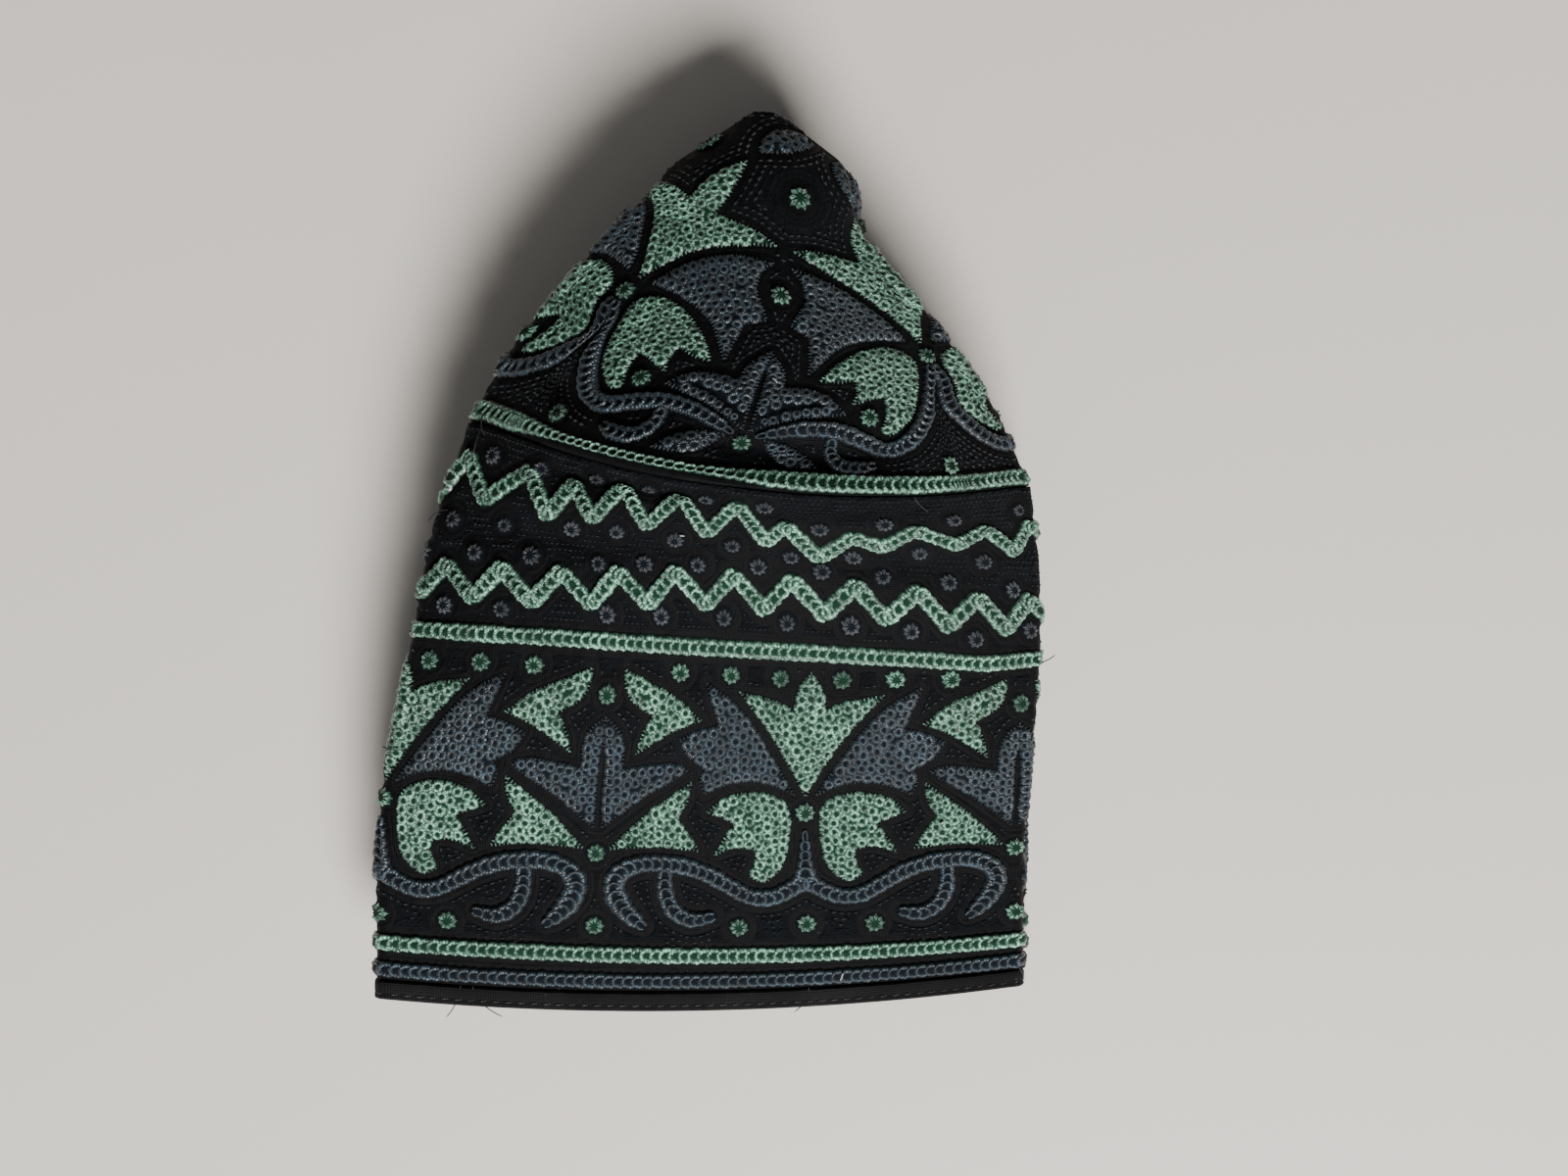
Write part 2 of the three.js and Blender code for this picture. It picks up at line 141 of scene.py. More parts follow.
CROWN_BLUE_TULIP = [(0.6, 79.6, 0), (5, 77.1), (10, 74.6), (15, 72.6), (19.2, 70.6, 0), (14.5, 67.6),
                    (9, 67.1), (4.8, 68.2, 0), (3.7, 63.6), (0, 59, 0), (0, 63, 0), (0.7, 66), (0.8, 76)]
CROWN_LOBE_RIB = [(0.8, 77.4, 0.8), (6, 73.6, 0.9), (13.5, 70.2, 0.5)]
CROWN_SIDE_LEAF = [(4, 80.8, 0), (6.8, 84.6), (11, 86.6), (17.4, 86, 0), (13.8, 83.2), (9.5, 81.4)]
CROWN_VINE = [(2.4, 80.6, 0.8), (6.2, 78.8, 2.6), (12, 76.5, 3.3), (18.2, 75.1, 3.6), (24.5, 75.3, 3.8),
              (29.8, 75.8, 3.8), (33.8, 73.4, 3.8), (36.2, 69, 3.8), (37.2, 62.5, 3.8), (37, 57, 3.6),
              (35.7, 51.4, 2.8), (34.8, 48.8, 1.4)]
CROWN_HOOK = [(17.9, 77, 2.4), (18.8, 81, 2.9), (22, 83.5, 3.0), (26.3, 82.7, 2.9), (29.2, 80.9, 1.4)]
CROWN_BLUE_EYES = [(0, 82.7), (0, 44.6), (0, 20.9), (24.6, 69.5)]
# Crown, measured from the axis of the green tulip, half a sector away
CROWN_TULIP = [(0, 53.5, 0), (2.5, 48.2), (6.4, 41.5), (12.6, 33.8), (17.8, 27.4, 0), (12.1, 28.8),
               (6.7, 31.2), (3.4, 32.2, 0), (2.9, 27), (1.7, 23), (0, 19.8, 0)]
CROWN_PETAL = [(0, 16.8, 0), (2.5, 13.6), (3.0, 10.6), (1.9, 6.8), (0, 4.4, 0)]
CROWN_TULIP_EYES = [(0, 57.1)]
CROWN_EDGE_EYES = [(-27.6, 86.4), (33.6, 86.2), (108, 86.2), (180, 86.2), (-108, 86.2)]
EDGE_STRIPE = 90.4
EYE_RADIUS = 2.35
# Heights up the side where the repeated chart ends, where the zigzags begin, and the slate eyelets
BAND_CHART_TOP = 84
CHART_REACH, EYES_FROM, ZIGZAGS_FROM = 80, 82, 85


class KummaCloth(bpy.types.PropertyGroup):
    """Sizes and colours of the quilted black cloth"""
    thickness: FloatProperty(name="Cloth thickness", description="Both layers with the cord between them",
                             default=0.002, min=0.001, max=0.004, unit="LENGTH")
    hem_thickness: FloatProperty(name="Hem thickness", description="The folded edge round the open rim",
                                 default=0.0025, min=0.001, max=0.005, unit="LENGTH")
    pillow: FloatProperty(name="Pillow height", description="How far stitched leaves stand above the ground",
                          default=0.00048, min=0.0, max=0.001, unit="LENGTH")
    groove: FloatProperty(name="Groove depth", description="How far the cloth sinks beside a leaf",
                          default=0.00032, min=0.0, max=0.001, unit="LENGTH")
    ground: FloatVectorProperty(name="Ground", description="Charcoal cotton between the leaves",
                                default=(0.0026, 0.0038, 0.0054), size=3, subtype="COLOR", min=0, max=1)
    # Partly painted shade: this dark colour stands for the black outline and the shade in the groove beside
    # each leaf
    cord: FloatVectorProperty(name="Outline cord", description="Smooth black cord round each leaf",
                              default=(0.0020, 0.0020, 0.0026), size=3, subtype="COLOR", min=0, max=1)
    hem: FloatVectorProperty(name="Hem tape", description="Plain black edge, faintly brown where rubbed",
                             default=(0.0028, 0.0026, 0.0030), size=3, subtype="COLOR", min=0, max=1)


class KummaThread(bpy.types.PropertyGroup):
    """Sizes and colours of the embroidery thread"""
    green: FloatVectorProperty(name="Pale green", description="Thread of the tulips, leaves and zigzags",
                               default=(0.156, 0.335, 0.232), size=3, subtype="COLOR", min=0, max=1)
    # Painted shade: the green thread's colour down in the net's holes and at each stitch's foot
    green_in_shade: FloatVectorProperty(name="Deep green", description="Green thread down in the net's holes",
                                    default=(0.006, 0.030, 0.016), size=3, subtype="COLOR", min=0, max=1)
    blue: FloatVectorProperty(name="Slate blue", description="Thread of the wings, vines and blue tulips",
                              default=(0.0145, 0.030, 0.0415), size=3, subtype="COLOR", min=0, max=1)
    # Painted shade: the blue thread's colour down in the net's holes and at each stitch's foot
    blue_in_shade: FloatVectorProperty(name="Deep blue", description="Blue thread down in the net's holes",
                                   default=(0.003, 0.006, 0.010), size=3, subtype="COLOR", min=0, max=1)
    loop_pitch: FloatProperty(name="Loop pitch", description="Distance between two loops of the net",
                              default=0.00216, min=0.0015, max=0.004, unit="LENGTH")
    chain_pitch: FloatProperty(name="Chain pitch", description="Distance between two links of a chain line",
                               default=0.00212, min=0.0015, max=0.004, unit="LENGTH")
    edge_pitch: FloatProperty(name="Edge pitch", description="Distance between two stitches round a leaf",
                              default=0.0009, min=0.0005, max=0.002, unit="LENGTH")
    seed: IntProperty(name="Seed", description="Start of the small differences from stitch to stitch",
                      default=7, min=0)


class KummaStage(bpy.types.PropertyGroup):
    """Floor, light and camera"""
    floor: FloatVectorProperty(name="Floor", description="Plain pale floor", default=(0.83, 0.768, 0.70),
                               size=3, subtype="COLOR", min=0, max=1)
    camera_height: FloatProperty(name="Camera height", description="Straight above the floor",
                                 default=0.450, min=0.2, max=2, unit="LENGTH")
    lens: FloatProperty(name="Lens", description="Focal length for a 36 mm sensor",
                        default=43.98, min=20, max=120)
    window: FloatProperty(name="Window power", description="Soft light from below, a little right, in watts",
                          default=67.0, min=0, max=200)
    sky: FloatProperty(name="Room light", description="Even light from all round", default=0.06, min=0, max=5)


# Folded surface

def ease(t):
    t = np.clip(t, 0, 1)
    return t * t * (3 - 2 * t)


def mix(a, b, t):
    return a + (b - a) * t


def levels_at(rows, levels):
    """Every column of a level table at the given levels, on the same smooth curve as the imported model."""
    table = np.array(sorted(rows), float)
    level = table[:, 0]
    count = len(table)
    before = np.maximum(np.arange(count) - 1, 0)
    after = np.minimum(np.arange(count) + 1, count - 1)
    slope = (table[after] - table[before]) / (level[after] - level[before])[:, None]
    levels = np.asarray(levels, float)
    high = np.clip(np.searchsorted(level, levels), 1, count - 1)
    low = high - 1
    span = (level[high] - level[low])[:, None]
    t = ((levels - level[low])[:, None]) / span
    bend = (t**3 - 2 * t**2 + t) * slope[low] + (t**3 - t**2) * slope[high]
    values = mix(table[low], table[high], ease(t)) + bend * span
    return {name: values[:, i : i + 1] for i, name in enumerate(COLUMNS)}


def folded_section(at, gap, steps=40):
    """The middle of the cloth round each level: an array of levels by points by 3."""
    width = at["rx"] - at["lx"]
    half = at["roll"] * LAYER_PITCH / 2
    ramp = np.linspace(0, 1, steps + 1)[None, :]
    turn = np.pi * np.array([[0.15, 0.35, 0.5, 0.65, 0.85]])

    def front(t, drop=0.0, dip=0.0):
        hump = 4 * t * (1 - t)
        x = mix(at["lx"], at["rx"], t)
        y = mix(at["ly"], at["ry"], t) - at["dip"] * hump - dip
        z = mix(at["lz"], at["rz"], t) + at["rise"] * hump - drop
        return np.stack([x, y, z], -1)

    def back_y(t):
        return mix(at["ly"], at["ry"], t) + BACK_LEAD - at["sag"] * 4 * t * (1 - t)

    def fold(x, y, upper, lower, side):
        radius = (upper - lower) / 2
        across = side * at["roll"] * radius * np.sin(turn)
        return np.stack([x + across, y + 0 * turn, upper - radius + radius * np.cos(turn)], -1)

    def half_round(sign):
        edge = 1 - half / width if sign > 0 else half / width
        inner = 0.5 + sign * gap / width
        back_edge = (at["rx"] if sign > 0 else at["lx"]) + sign * (BACK_FLARE - half)
        face = front(mix(0.5, edge, ramp))
        corner = face[:, -1:, :]
        first = fold(corner[..., 0], corner[..., 1], corner[..., 2], corner[..., 2] - LAYER_PITCH, sign)
        drop = mix(LAYER_PITCH, at["nest"], ramp)
        tuck = front(mix(edge, inner, ramp), drop, (at["tuck"] - at["dip"]) * ease(ramp))
        deep = tuck[:, -1:, :]
        second = fold(deep[..., 0], deep[..., 1], deep[..., 2], deep[..., 2] - LAYER_PITCH, -sign)
        low = deep - np.array([0, 0, LAYER_PITCH])
        foot_y = back_y(np.full_like(width, 1.0 if sign > 0 else 0.0))
        foot = np.stack([back_edge, foot_y, at["foot"] + LAYER_PITCH], -1)
        wing = low + (foot - low) * ramp[..., None]
        third = fold(back_edge, foot_y, at["foot"] + LAYER_PITCH, at["foot"], sign)
        x = mix(back_edge, (at["lx"] + at["rx"]) / 2, ramp)
        across = np.clip((x - at["lx"]) / width, 0, 1)
        back = np.stack([x, back_y(across), mix(at["heel"], at["foot"], (1 - ramp) ** 4)], -1)
        return np.concatenate([face, first, tuck, second, wing, third, back], 1)

    return np.concatenate([half_round(1), half_round(-1)[:, -2:0:-1, :]], 1)


def round_lengths(points):
    """Each ring closed, with the length along it at each point."""
    closed = np.concatenate([points, points[:, :1]], 1)
    steps = np.linalg.norm(np.diff(closed, axis=1), axis=2)
    return closed, np.concatenate([np.zeros((len(points), 1)), np.cumsum(steps, 1)], 1)


def fitted_section(at, girth):
    """The tucked edges stop short of each other by the gap that gives each section its true length."""
    low = np.full_like(at["lx"], 0.5)
    high = (at["rx"] - at["lx"]) / 2 - LAYER_PITCH
    for _ in range(22):
        gap = (low + high) / 2
        total = round_lengths(folded_section(at, gap))[1][:, -1:]
        low = np.where(total > girth, gap, low)
        high = np.where(total > girth, high, gap)
    return folded_section(at, low)


def from_segment(x, y, start, end):
    """Share of the way along a segment to its point nearest each x, y, and the distances from there."""
    dx, dy = end[0] - start[0], end[1] - start[1]
    x, y = x - start[0], y - start[1]
    t = np.clip((x * dx + y * dy) / (dx * dx + dy * dy + 1e-12), 0, 1)
    return t, x - t * dx, y - t * dy


def crease_lift(creases, s, v):
    """Height of the creases over the cloth: each a soft ridge or valley along a straight line."""
    lift = np.zeros(np.broadcast(s, v).shape)
    for s1, v1, s2, v2, width, depth in creases:
        t, ds, dv = from_segment(s, v, (s1, v1), (s2, v2))
        away = np.hypot(ds, dv) / width
        lift += depth * np.sqrt(np.clip(1 - (2 * t - 1) ** 2, 0, 1)) * np.exp(-away * away * 2)
    return lift


def folded_rings(rows, levels, girth, shares, creases, unit_of_turn):
    """Rings of points on the middle of the cloth, at these shares of the way round each level."""
    levels = np.asarray(levels, float)
    at = levels_at(rows, levels)
    girth = np.broadcast_to(np.asarray(girth, float).reshape(-1, 1), (len(levels), 1))
    closed, lengths = round_lengths(fitted_section(at, girth))
    rings = np.empty((len(levels), len(shares), 3))
    for j in range(len(levels)):
        target = (shares % 1) * lengths[j, -1]
        for axis in range(3):
            rings[j, :, axis] = np.interp(target, lengths[j], closed[j, :, axis])
    around = (shares - np.round(shares))[None, :]
    on_front = ease((FRONT_EDGE - np.abs(around)) / FRONT_FADE)
    turn = at["turn"] * np.asarray(unit_of_turn, float).reshape(-1, 1)
    rings[..., 2] += on_front * crease_lift(creases, around * girth + turn, levels[:, None])
    return rings


def band_rings(levels, shares):
    return folded_rings(BAND_LEVELS, levels, HEAD_GIRTH, shares, BAND_CREASES, 1.0)


def crown_folded(radii, shares):
    radii = np.asarray(radii, float)
    girth = HEAD_GIRTH * radii / CROWN_RADIUS
    return folded_rings(CROWN_LEVELS, radii, girth, shares, CROWN_CREASES, np.pi / 180 * radii)


def evened(ring, sigma):
    """A closed ring smoothed with a bell curve that is sigma samples wide."""
    frequency = np.fft.fftfreq(len(ring))[:, None]
    return np.fft.ifft(np.fft.fft(ring, axis=0) * np.exp(-2 * (np.pi * frequency * sigma) ** 2), axis=0).real


def crown_rings(radii, shares):
    """The crown's rings, which run from its folds into a plain oval round the tip."""
    radii = np.asarray(radii, float)
    rings = crown_folded(np.maximum(radii, TIP_ROUND), shares)
    start = crown_folded([TIP_START], shares)[0].mean(0)
    angle = 2 * np.pi * shares
    for j, radius in enumerate(radii):
        if radius >= TIP_START:
            continue
        middle = TIP + (start - TIP) * radius / TIP_START
        oval = ease((TIP_START - radius) / (TIP_START - TIP_ROUND))
        reach = radius * TIP_SPREAD
        plain = np.stack([middle[0] + reach * np.sin(angle), middle[1] + 0 * angle,
                          middle[2] + TIP_FLATNESS * reach * np.cos(angle)], -1)
        ring = rings[j] + (plain - rings[j]) * oval
        spacing = max(HEAD_GIRTH * radius / CROWN_RADIUS, 1.0) / len(shares)
        rings[j] = evened(ring, min(TIP_EVENING / spacing, len(shares) / 40) * (1 - 0.7 * oval))
    return rings


# Chart geometry

def curve_through(points, step=0.8):
    """A smooth line through the points, sampled about every step mm."""
    points = np.asarray(points, float)
    padded = np.vstack([2 * points[0] - points[1], points, 2 * points[-1] - points[-2]])
    line = []
    for a, b, c, d in zip(padded, padded[1:], padded[2:], padded[3:]):
        count = max(1, int(round(np.linalg.norm((c - b)[:2]) / step)))
        t = (np.arange(count) / count)[:, None]
        line.append(0.5 * (2 * b + (c - a) * t + (2 * a - 5 * b + 4 * c - d) * t**2
                           + (3 * b - a - 3 * c + d) * t**3))
    return np.vstack(line + [points[-1:]])


def outline_of(points):
    """A closed outline, smooth between its sharp tips, running anticlockwise."""
    sharp = [i for i, p in enumerate(points) if len(p) == 3]
    flat = [p[:2] for p in points]
    turned = flat[sharp[0]:] + flat[:sharp[0]] + [flat[sharp[0]]]
    tips = [i - sharp[0] for i in sharp] + [len(flat)]
    ring = np.vstack([curve_through(turned[a:b + 1])[:-1] for a, b in zip(tips, tips[1:])])
    ahead = np.roll(ring, -1, axis=0)
    area = np.sum(ring[:, 0] * ahead[:, 1] - ahead[:, 0] * ring[:, 1])
    return ring if area > 0 else ring[::-1]


def whole(points):
    """A half outline, from the bottom to the top of its axis, joined to its mirror image."""
    mirrored = [(-p[0], *p[1:]) for p in points[-2:0:-1]]
    return outline_of(list(points) + mirrored)


def along(line):
    """Distance along a line at each of its points."""
    return np.concatenate([[0], np.cumsum(np.hypot(*np.diff(line[:, :2], axis=0).T))])


def spaced(line, pitch, closed=False, nudge=0.3):
    """Points every pitch mm along a line, with the direction there, taken over nudge mm on either hand."""
    if closed:
        line = np.vstack([line, line[:1]])
    length = along(line)
    count = max(2, int(round(length[-1] / pitch)))
    at = (np.arange(count) + 0.5) * length[-1] / count

    def read(place, column):
        return np.interp(place, length, line[:, column])

    points = np.stack([read(at, k) for k in range(line.shape[1])], -1)
    low, high = np.maximum(at - nudge, 0), np.minimum(at + nudge, length[-1])
    ahead = np.stack([read(high, k) - read(low, k) for k in (0, 1)], -1)
    return points, ahead / np.maximum(np.linalg.norm(ahead, axis=1, keepdims=True), 1e-9)


def left_of(ahead):
    """The directions a quarter turn to the left of these."""
    return np.stack([-ahead[:, 1], ahead[:, 0]], -1)


def at_angle(radius, angle):
    """x and y at a radius, turned clockwise by an angle from the y axis."""
    return radius * np.sin(angle), radius * np.cos(angle)


def distance_to_outline(x, y, outline):
    """Signed distance in mm from each point to a closed outline, negative inside."""
    nearest = np.full(x.shape, 1e9)
    crossings = np.zeros(x.shape, int)
    for start, end in zip(outline, np.roll(outline, -1, axis=0)):
        _, dx, dy = from_segment(x, y, start, end)
        nearest = np.minimum(nearest, dx**2 + dy**2)
        if start[1] != end[1]:
            lean = (end[0] - start[0]) / (end[1] - start[1])
            crossings += ((start[1] > y) != (end[1] > y)) & (x < (y - start[1]) * lean + start[0])
    return np.sqrt(nearest) * np.where(crossings % 2, -1, 1)


def distance_to_line(x, y, line):
    """Distance in mm to the edge of a line of varying width, negative inside it."""
    nearest = np.full(x.shape, 1e9)
    for start, end in zip(line, line[1:]):
        t, dx, dy = from_segment(x, y, start, end)
        nearest = np.minimum(nearest, np.hypot(dx, dy) - mix(start[2], end[2], t) / 2)
    return nearest


class Grid:
    """Distances kept on a fine grid of the chart, read back by straight mixing between its points."""

    def __init__(self, x_end, y_end, step=0.3):
        self.step = step
        self.xs = np.arange(-1.0, x_end + 1.0, step)
        self.ys = np.arange(0.0, y_end + 1.0, step)
        self.x, self.y = np.meshgrid(self.xs, self.ys)
        self.near = {colour: np.full(self.x.shape, FAR) for colour in COLOURS}

    def window(self, points, margin=11.0):
        """The part of the grid within margin mm of these points."""
        low, high = points.min(0) - margin, points.max(0) + margin
        columns = slice(*np.searchsorted(self.xs, [low[0], high[0]]))
        rows = slice(*np.searchsorted(self.ys, [low[1], high[1]]))
        return rows, columns

    def add(self, colour, distance, points, cut=False):
        """Adds a shape to what is known of its colour, or cuts it out."""
        rows, columns = self.window(np.asarray(points)[:, :2])
        away = distance(self.x[rows, columns], self.y[rows, columns])
        old = self.near[colour][rows, columns]
        self.near[colour][rows, columns] = np.maximum(old, -away) if cut else np.minimum(old, away)

    def at(self, colour, x, y):
        gx = np.clip((x - self.xs[0]) / self.step, 0, len(self.xs) - 1.001)
        gy = np.clip((y - self.ys[0]) / self.step, 0, len(self.ys) - 1.001)
        ix, iy = gx.astype(int), gy.astype(int)
        fx, fy = gx - ix, gy - iy
        table = self.near[colour]
        low = mix(table[iy, ix], table[iy, ix + 1], fx)
        return mix(low, mix(table[iy + 1, ix], table[iy + 1, ix + 1], fx), fy)


def eye_distance(eyes, wrap=lambda x: x):
    """A function for the distance to the edge of the nearest eyelet, with x distances wrapped."""
    def distance(x, y):
        return np.min([np.hypot(wrap(x - ex), y - ey) for ex, ey in eyes], axis=0) - EYE_RADIUS
    return distance


class Chart:
    """One repeat of the embroidery: leaves to fill, lines of chain stitch and eyelets."""

    def __init__(self, x_end, y_end):
        self.grid = Grid(x_end, y_end)
        self.leaves, self.lines, self.eyes = [], [], []

    def leaf(self, colour, outline, both_sides=True):
        self.leaves.append((colour, outline, both_sides))
        self.grid.add(colour, lambda x, y: distance_to_outline(x, y, outline), outline)

    def line(self, colour, points, both_sides=True):
        line = curve_through(points)
        self.lines.append((colour, line, both_sides))
        self.grid.add(colour, lambda x, y: distance_to_line(x, y, line), line)

    def rib(self, colour, points):
        """A bare line that parts a leaf."""
        line = curve_through(points)
        self.grid.add(colour, lambda x, y: distance_to_line(x, y, line), line, cut=True)

    def eyelets(self, points, both_sides):
        """Green eyelets, which get a mirror image when they aren't on an axis."""
        self.eyes += [(point, both_sides) for point in points]
        self.grid.add("green", eye_distance(points), points)

    def to(self, colour, points):
        """Distance from each point to the nearest embroidery of a colour."""
        return self.grid.at(colour, *self.folded(points[:, 0], points[:, 1]))

    def near(self, x, y):
        """Distances to the nearest green and blue embroidery."""
        fx, fy = self.folded(x, y)
        return {colour: self.grid.at(colour, fx, fy) for colour in COLOURS}

    def nearest(self, points):
        return np.minimum(*self.near(points[:, 0], points[:, 1]).values())


class BandChart(Chart):
    """Half a repeat of the side wall, from the green tulip's axis to the blue tulip's."""
    repeats = 6

    def __init__(self):
        super().__init__(HALF, BAND_CHART_TOP)
        self.leaf("green", whole(BAND_TULIP), both_sides=False)
        self.leaf("blue", outline_of(BAND_WING))
        self.leaf("green", outline_of(BAND_LOW_LEAF))
        for colour, points in (("blue", BAND_BLUE_TULIP), ("green", BAND_SIDE_LEAF),
                               ("green", BAND_TOP_LEAF)):
            self.leaf(colour, outline_of([(HALF - p[0], *p[1:]) for p in points]))
        self.line("blue", BAND_STEM, both_sides=False)
        self.line("blue", BAND_VINE)
        self.line("blue", BAND_CURL)
        self.eyelets([p for p in BAND_TULIP_EYES if p[0] == 0], both_sides=False)
        self.eyelets([p for p in BAND_TULIP_EYES if p[0] > 0], both_sides=True)
        self.eyelets([(HALF, y) for _, y in BAND_BLUE_EYES], both_sides=False)

    def folded(self, x, y):
        """Where a point falls on the one half repeat that is drawn."""
        return np.abs((x + HALF) % REPEAT - HALF), y

    def copies(self, points, ahead, both_sides):
        """Every repeat of these points, round the whole side, with their directions."""
        sides = (1, -1) if both_sides else (1,)
        spots = [points * (side, 1) + (REPEAT * k, 0) for k in range(self.repeats) for side in sides]
        return np.vstack(spots), np.vstack([ahead * (side, 1) for _ in range(self.repeats) for side in sides])


class CrownChart(Chart):
    """Half a sector of the crown, from the blue tulip's axis to the green tulip's."""
    repeats = 5

    def __init__(self):
        super().__init__(58, CROWN_RADIUS)
        self.leaf("green", whole_in_sector(CROWN_TULIP), both_sides=False)
        self.leaf("blue", whole_in_sector(CROWN_PETAL), both_sides=False)
        self.leaf("blue", outline_of(CROWN_WING))
        self.leaf("green", outline_of(CROWN_LEAF))
        self.leaf("blue", outline_of(CROWN_BLUE_TULIP))
        self.leaf("blue", outline_of(CROWN_SIDE_LEAF))
        self.line("blue", CROWN_VINE)
        self.line("blue", CROWN_HOOK)
        self.rib("blue", CROWN_LOBE_RIB)
        self.eyelets([p for p in CROWN_BLUE_EYES if p[0] == 0], both_sides=False)
        self.eyelets([p for p in CROWN_BLUE_EYES if p[0] > 0], both_sides=True)
        self.eyelets(to_sector(np.array(CROWN_TULIP_EYES, float)), both_sides=False)

    def folded(self, x, y):
        """Where a point falls on the one half sector that is drawn."""
        angle = np.abs((np.degrees(np.arctan2(x, y)) + SECTOR / 2) % SECTOR - SECTOR / 2)
        return at_angle(np.hypot(x, y), np.radians(angle))

    def copies(self, points, ahead, both_sides):
        """Every repeat of these points, round the whole crown, with their directions."""
        spots, ways = [], []
        for k in range(self.repeats):
            c, s = math.cos(math.radians(SECTOR * k)), math.sin(math.radians(SECTOR * k))
            turned = np.array([[c, -s], [s, c]])
            for side in (1, -1) if both_sides else (1,):
                spots.append((points * (side, 1)) @ turned)
                ways.append((ahead * (side, 1)) @ turned)
        return np.vstack(spots), np.vstack(ways)


def to_sector(points):
    """From the green tulip's axis to the blue tulip's, half a sector apart."""
    angle = math.radians(SECTOR / 2) - np.arctan2(points[:, 0], points[:, 1])
    return np.stack(at_angle(np.hypot(points[:, 0], points[:, 1]), angle), -1)


def whole_in_sector(points):
    return to_sector(whole(points))[::-1]


# Stitching that runs right round the side, as distance along the cloth and height above the rim
TOOTH = HEAD_GIRTH / 42
FIRST_PEAK = -4.2
ROUND_LINES = {
    "low_blue": ("blue", 3.3, [(-HALF_GIRTH, 7.1), (-62, 7.4), (62, 7.1), (HALF_GIRTH, 7.1)]),
    "low_green": ("green", 3.6, [(-HALF_GIRTH, 13), (-62, 13.7), (62, 12.5), (130, 13), (HALF_GIRTH, 13)]),
    "middle_green": ("green", 3.4, [(-HALF_GIRTH, 82.4), (-120, 82.4), (-60, 83.2), (0, 82.5), (25, 81.6),
                                    (38, 80.8), (48, 81.6), (62, 82.8), (120, 82.4), (HALF_GIRTH, 82.4)]),
}
ZIGZAG_LEVEL = [(-HALF_GIRTH, 94), (-120, 94), (-56, 93.5), (-32, 94.9), (-19, 94.9), (0, 94), (15, 93.5),
                (30, 92.3), (45, 91.8), (90, 94), (HALF_GIRTH, 94)]
UPPER_ZIGZAG_FRONT = [(-78, 111.3), (-67.7, 119.6), (-61.7, 109.8), (-56.4, 118.3), (-50.75, 110.4),
                      (-43.6, 120.2), (-37.6, 110), (-29.75, 120.5), (-23.6, 108.9), (-17, 120.8),
                      (-10.1, 107.6), (-5.75, 114), (1.5, 103.4), (8.6, 111), (15.5, 108), (22, 113.9),
                      (31.75, 109), (38.6, 113.9), (46.5, 107.2), (52, 115), (57.9, 110)]
ZIGZAG_WIDTH, ZIGZAG_REACH = 3.6, 3.4
UPPER_PEAKS, UPPER_VALLEYS = 119.4, 110.0
BLUE_EYES_FRONT = [(-47.9, 88.5), (-35.1, 88.7), (-20.4, 89), (-5.5, 88.5), (8.4, 88.4), (21.5, 87.6),
                   (35.9, 86.2), (50, 88.4), (-49.5, 98.9), (-38.5, 99.5), (-25.8, 100.1), (-12, 100.4),
                   (2.1, 99.8), (15.5, 99.1), (29.9, 98.5), (45.8, 97.5), (-56, 107.2), (-44.9, 107.5),
                   (-31.1, 106.4), (-17.9, 105.6), (-4.5, 103.2), (9, 104.2), (23.4, 106.4),
                   (38.4, 104.2), (-51, 121.3), (-37.6, 121.4), (-24, 121), (-10.8, 120.6), (1.4, 113.1),
                   (15.3, 115.6), (30.8, 117.2), (49, 119.4)]


def low_zigzag():
    """The lower zigzag: even teeth along a line that sways with the cloth."""
    peaks = FIRST_PEAK + TOOTH * np.arange(-21, 22)
    s = np.sort(np.concatenate([peaks, peaks + TOOTH / 2]))
    is_valley = np.isclose((s - FIRST_PEAK) / TOOTH % 1, 0.5)
    level = np.interp(s, *zip(*ZIGZAG_LEVEL))
    return np.stack([s, level + np.where(is_valley, -ZIGZAG_REACH, ZIGZAG_REACH)], -1)


def high_zigzag():
    """The upper zigzag: measured at the front, regular round the back."""
    sides = []
    for teeth in (np.arange(-22, -5), np.arange(5, 23)):
        peaks = np.stack([FIRST_PEAK + TOOTH * teeth, np.full(len(teeth), UPPER_PEAKS)], -1)
        valleys = np.stack([peaks[1:, 0] - TOOTH / 2, np.full(len(teeth) - 1, UPPER_VALLEYS)], -1)
        side = np.vstack([peaks, valleys])
        sides.append(side[np.argsort(side[:, 0])])
    return np.vstack([sides[0], np.array(UPPER_ZIGZAG_FRONT), sides[1]])


def round_line(name):
    s = np.arange(-HALF_GIRTH, HALF_GIRTH + 1)
    return np.stack([s, np.interp(s, *zip(*ROUND_LINES[name][2]))], -1)


def blue_eyes():
    """Slate eyelets above and below the zigzags: measured at the front, regular round the back."""
    back = []
    for tooth in range(5, 38):
        s = FIRST_PEAK + TOOTH * tooth
        back += [(s, 88.3), (s + TOOTH / 2, 99.8), (s, 106.4), (s + TOOTH / 2, 120.6)]
    return np.array(BLUE_EYES_FRONT + back)


def apart(s):
    """Distance round the side, wrapped to the half girth on either hand."""
    return (s + HALF_GIRTH) % HEAD_GIRTH - HALF_GIRTH


# Where the chart lies on the cloth

def ramp(value, start, end):
    return np.clip((value - start) / (end - start), 0, 1)


def band_drift(s, v):
    """The cloth is pulled a few mm sideways near its side folds."""
    left = 6 * ramp(s, -5, -50) * (1 - ramp(s, -100, -160))
    right = 3 * ramp(s, 15, 45) * (1 - ramp(s, 100, 160))
    return ease(v / 95) * (left + right)


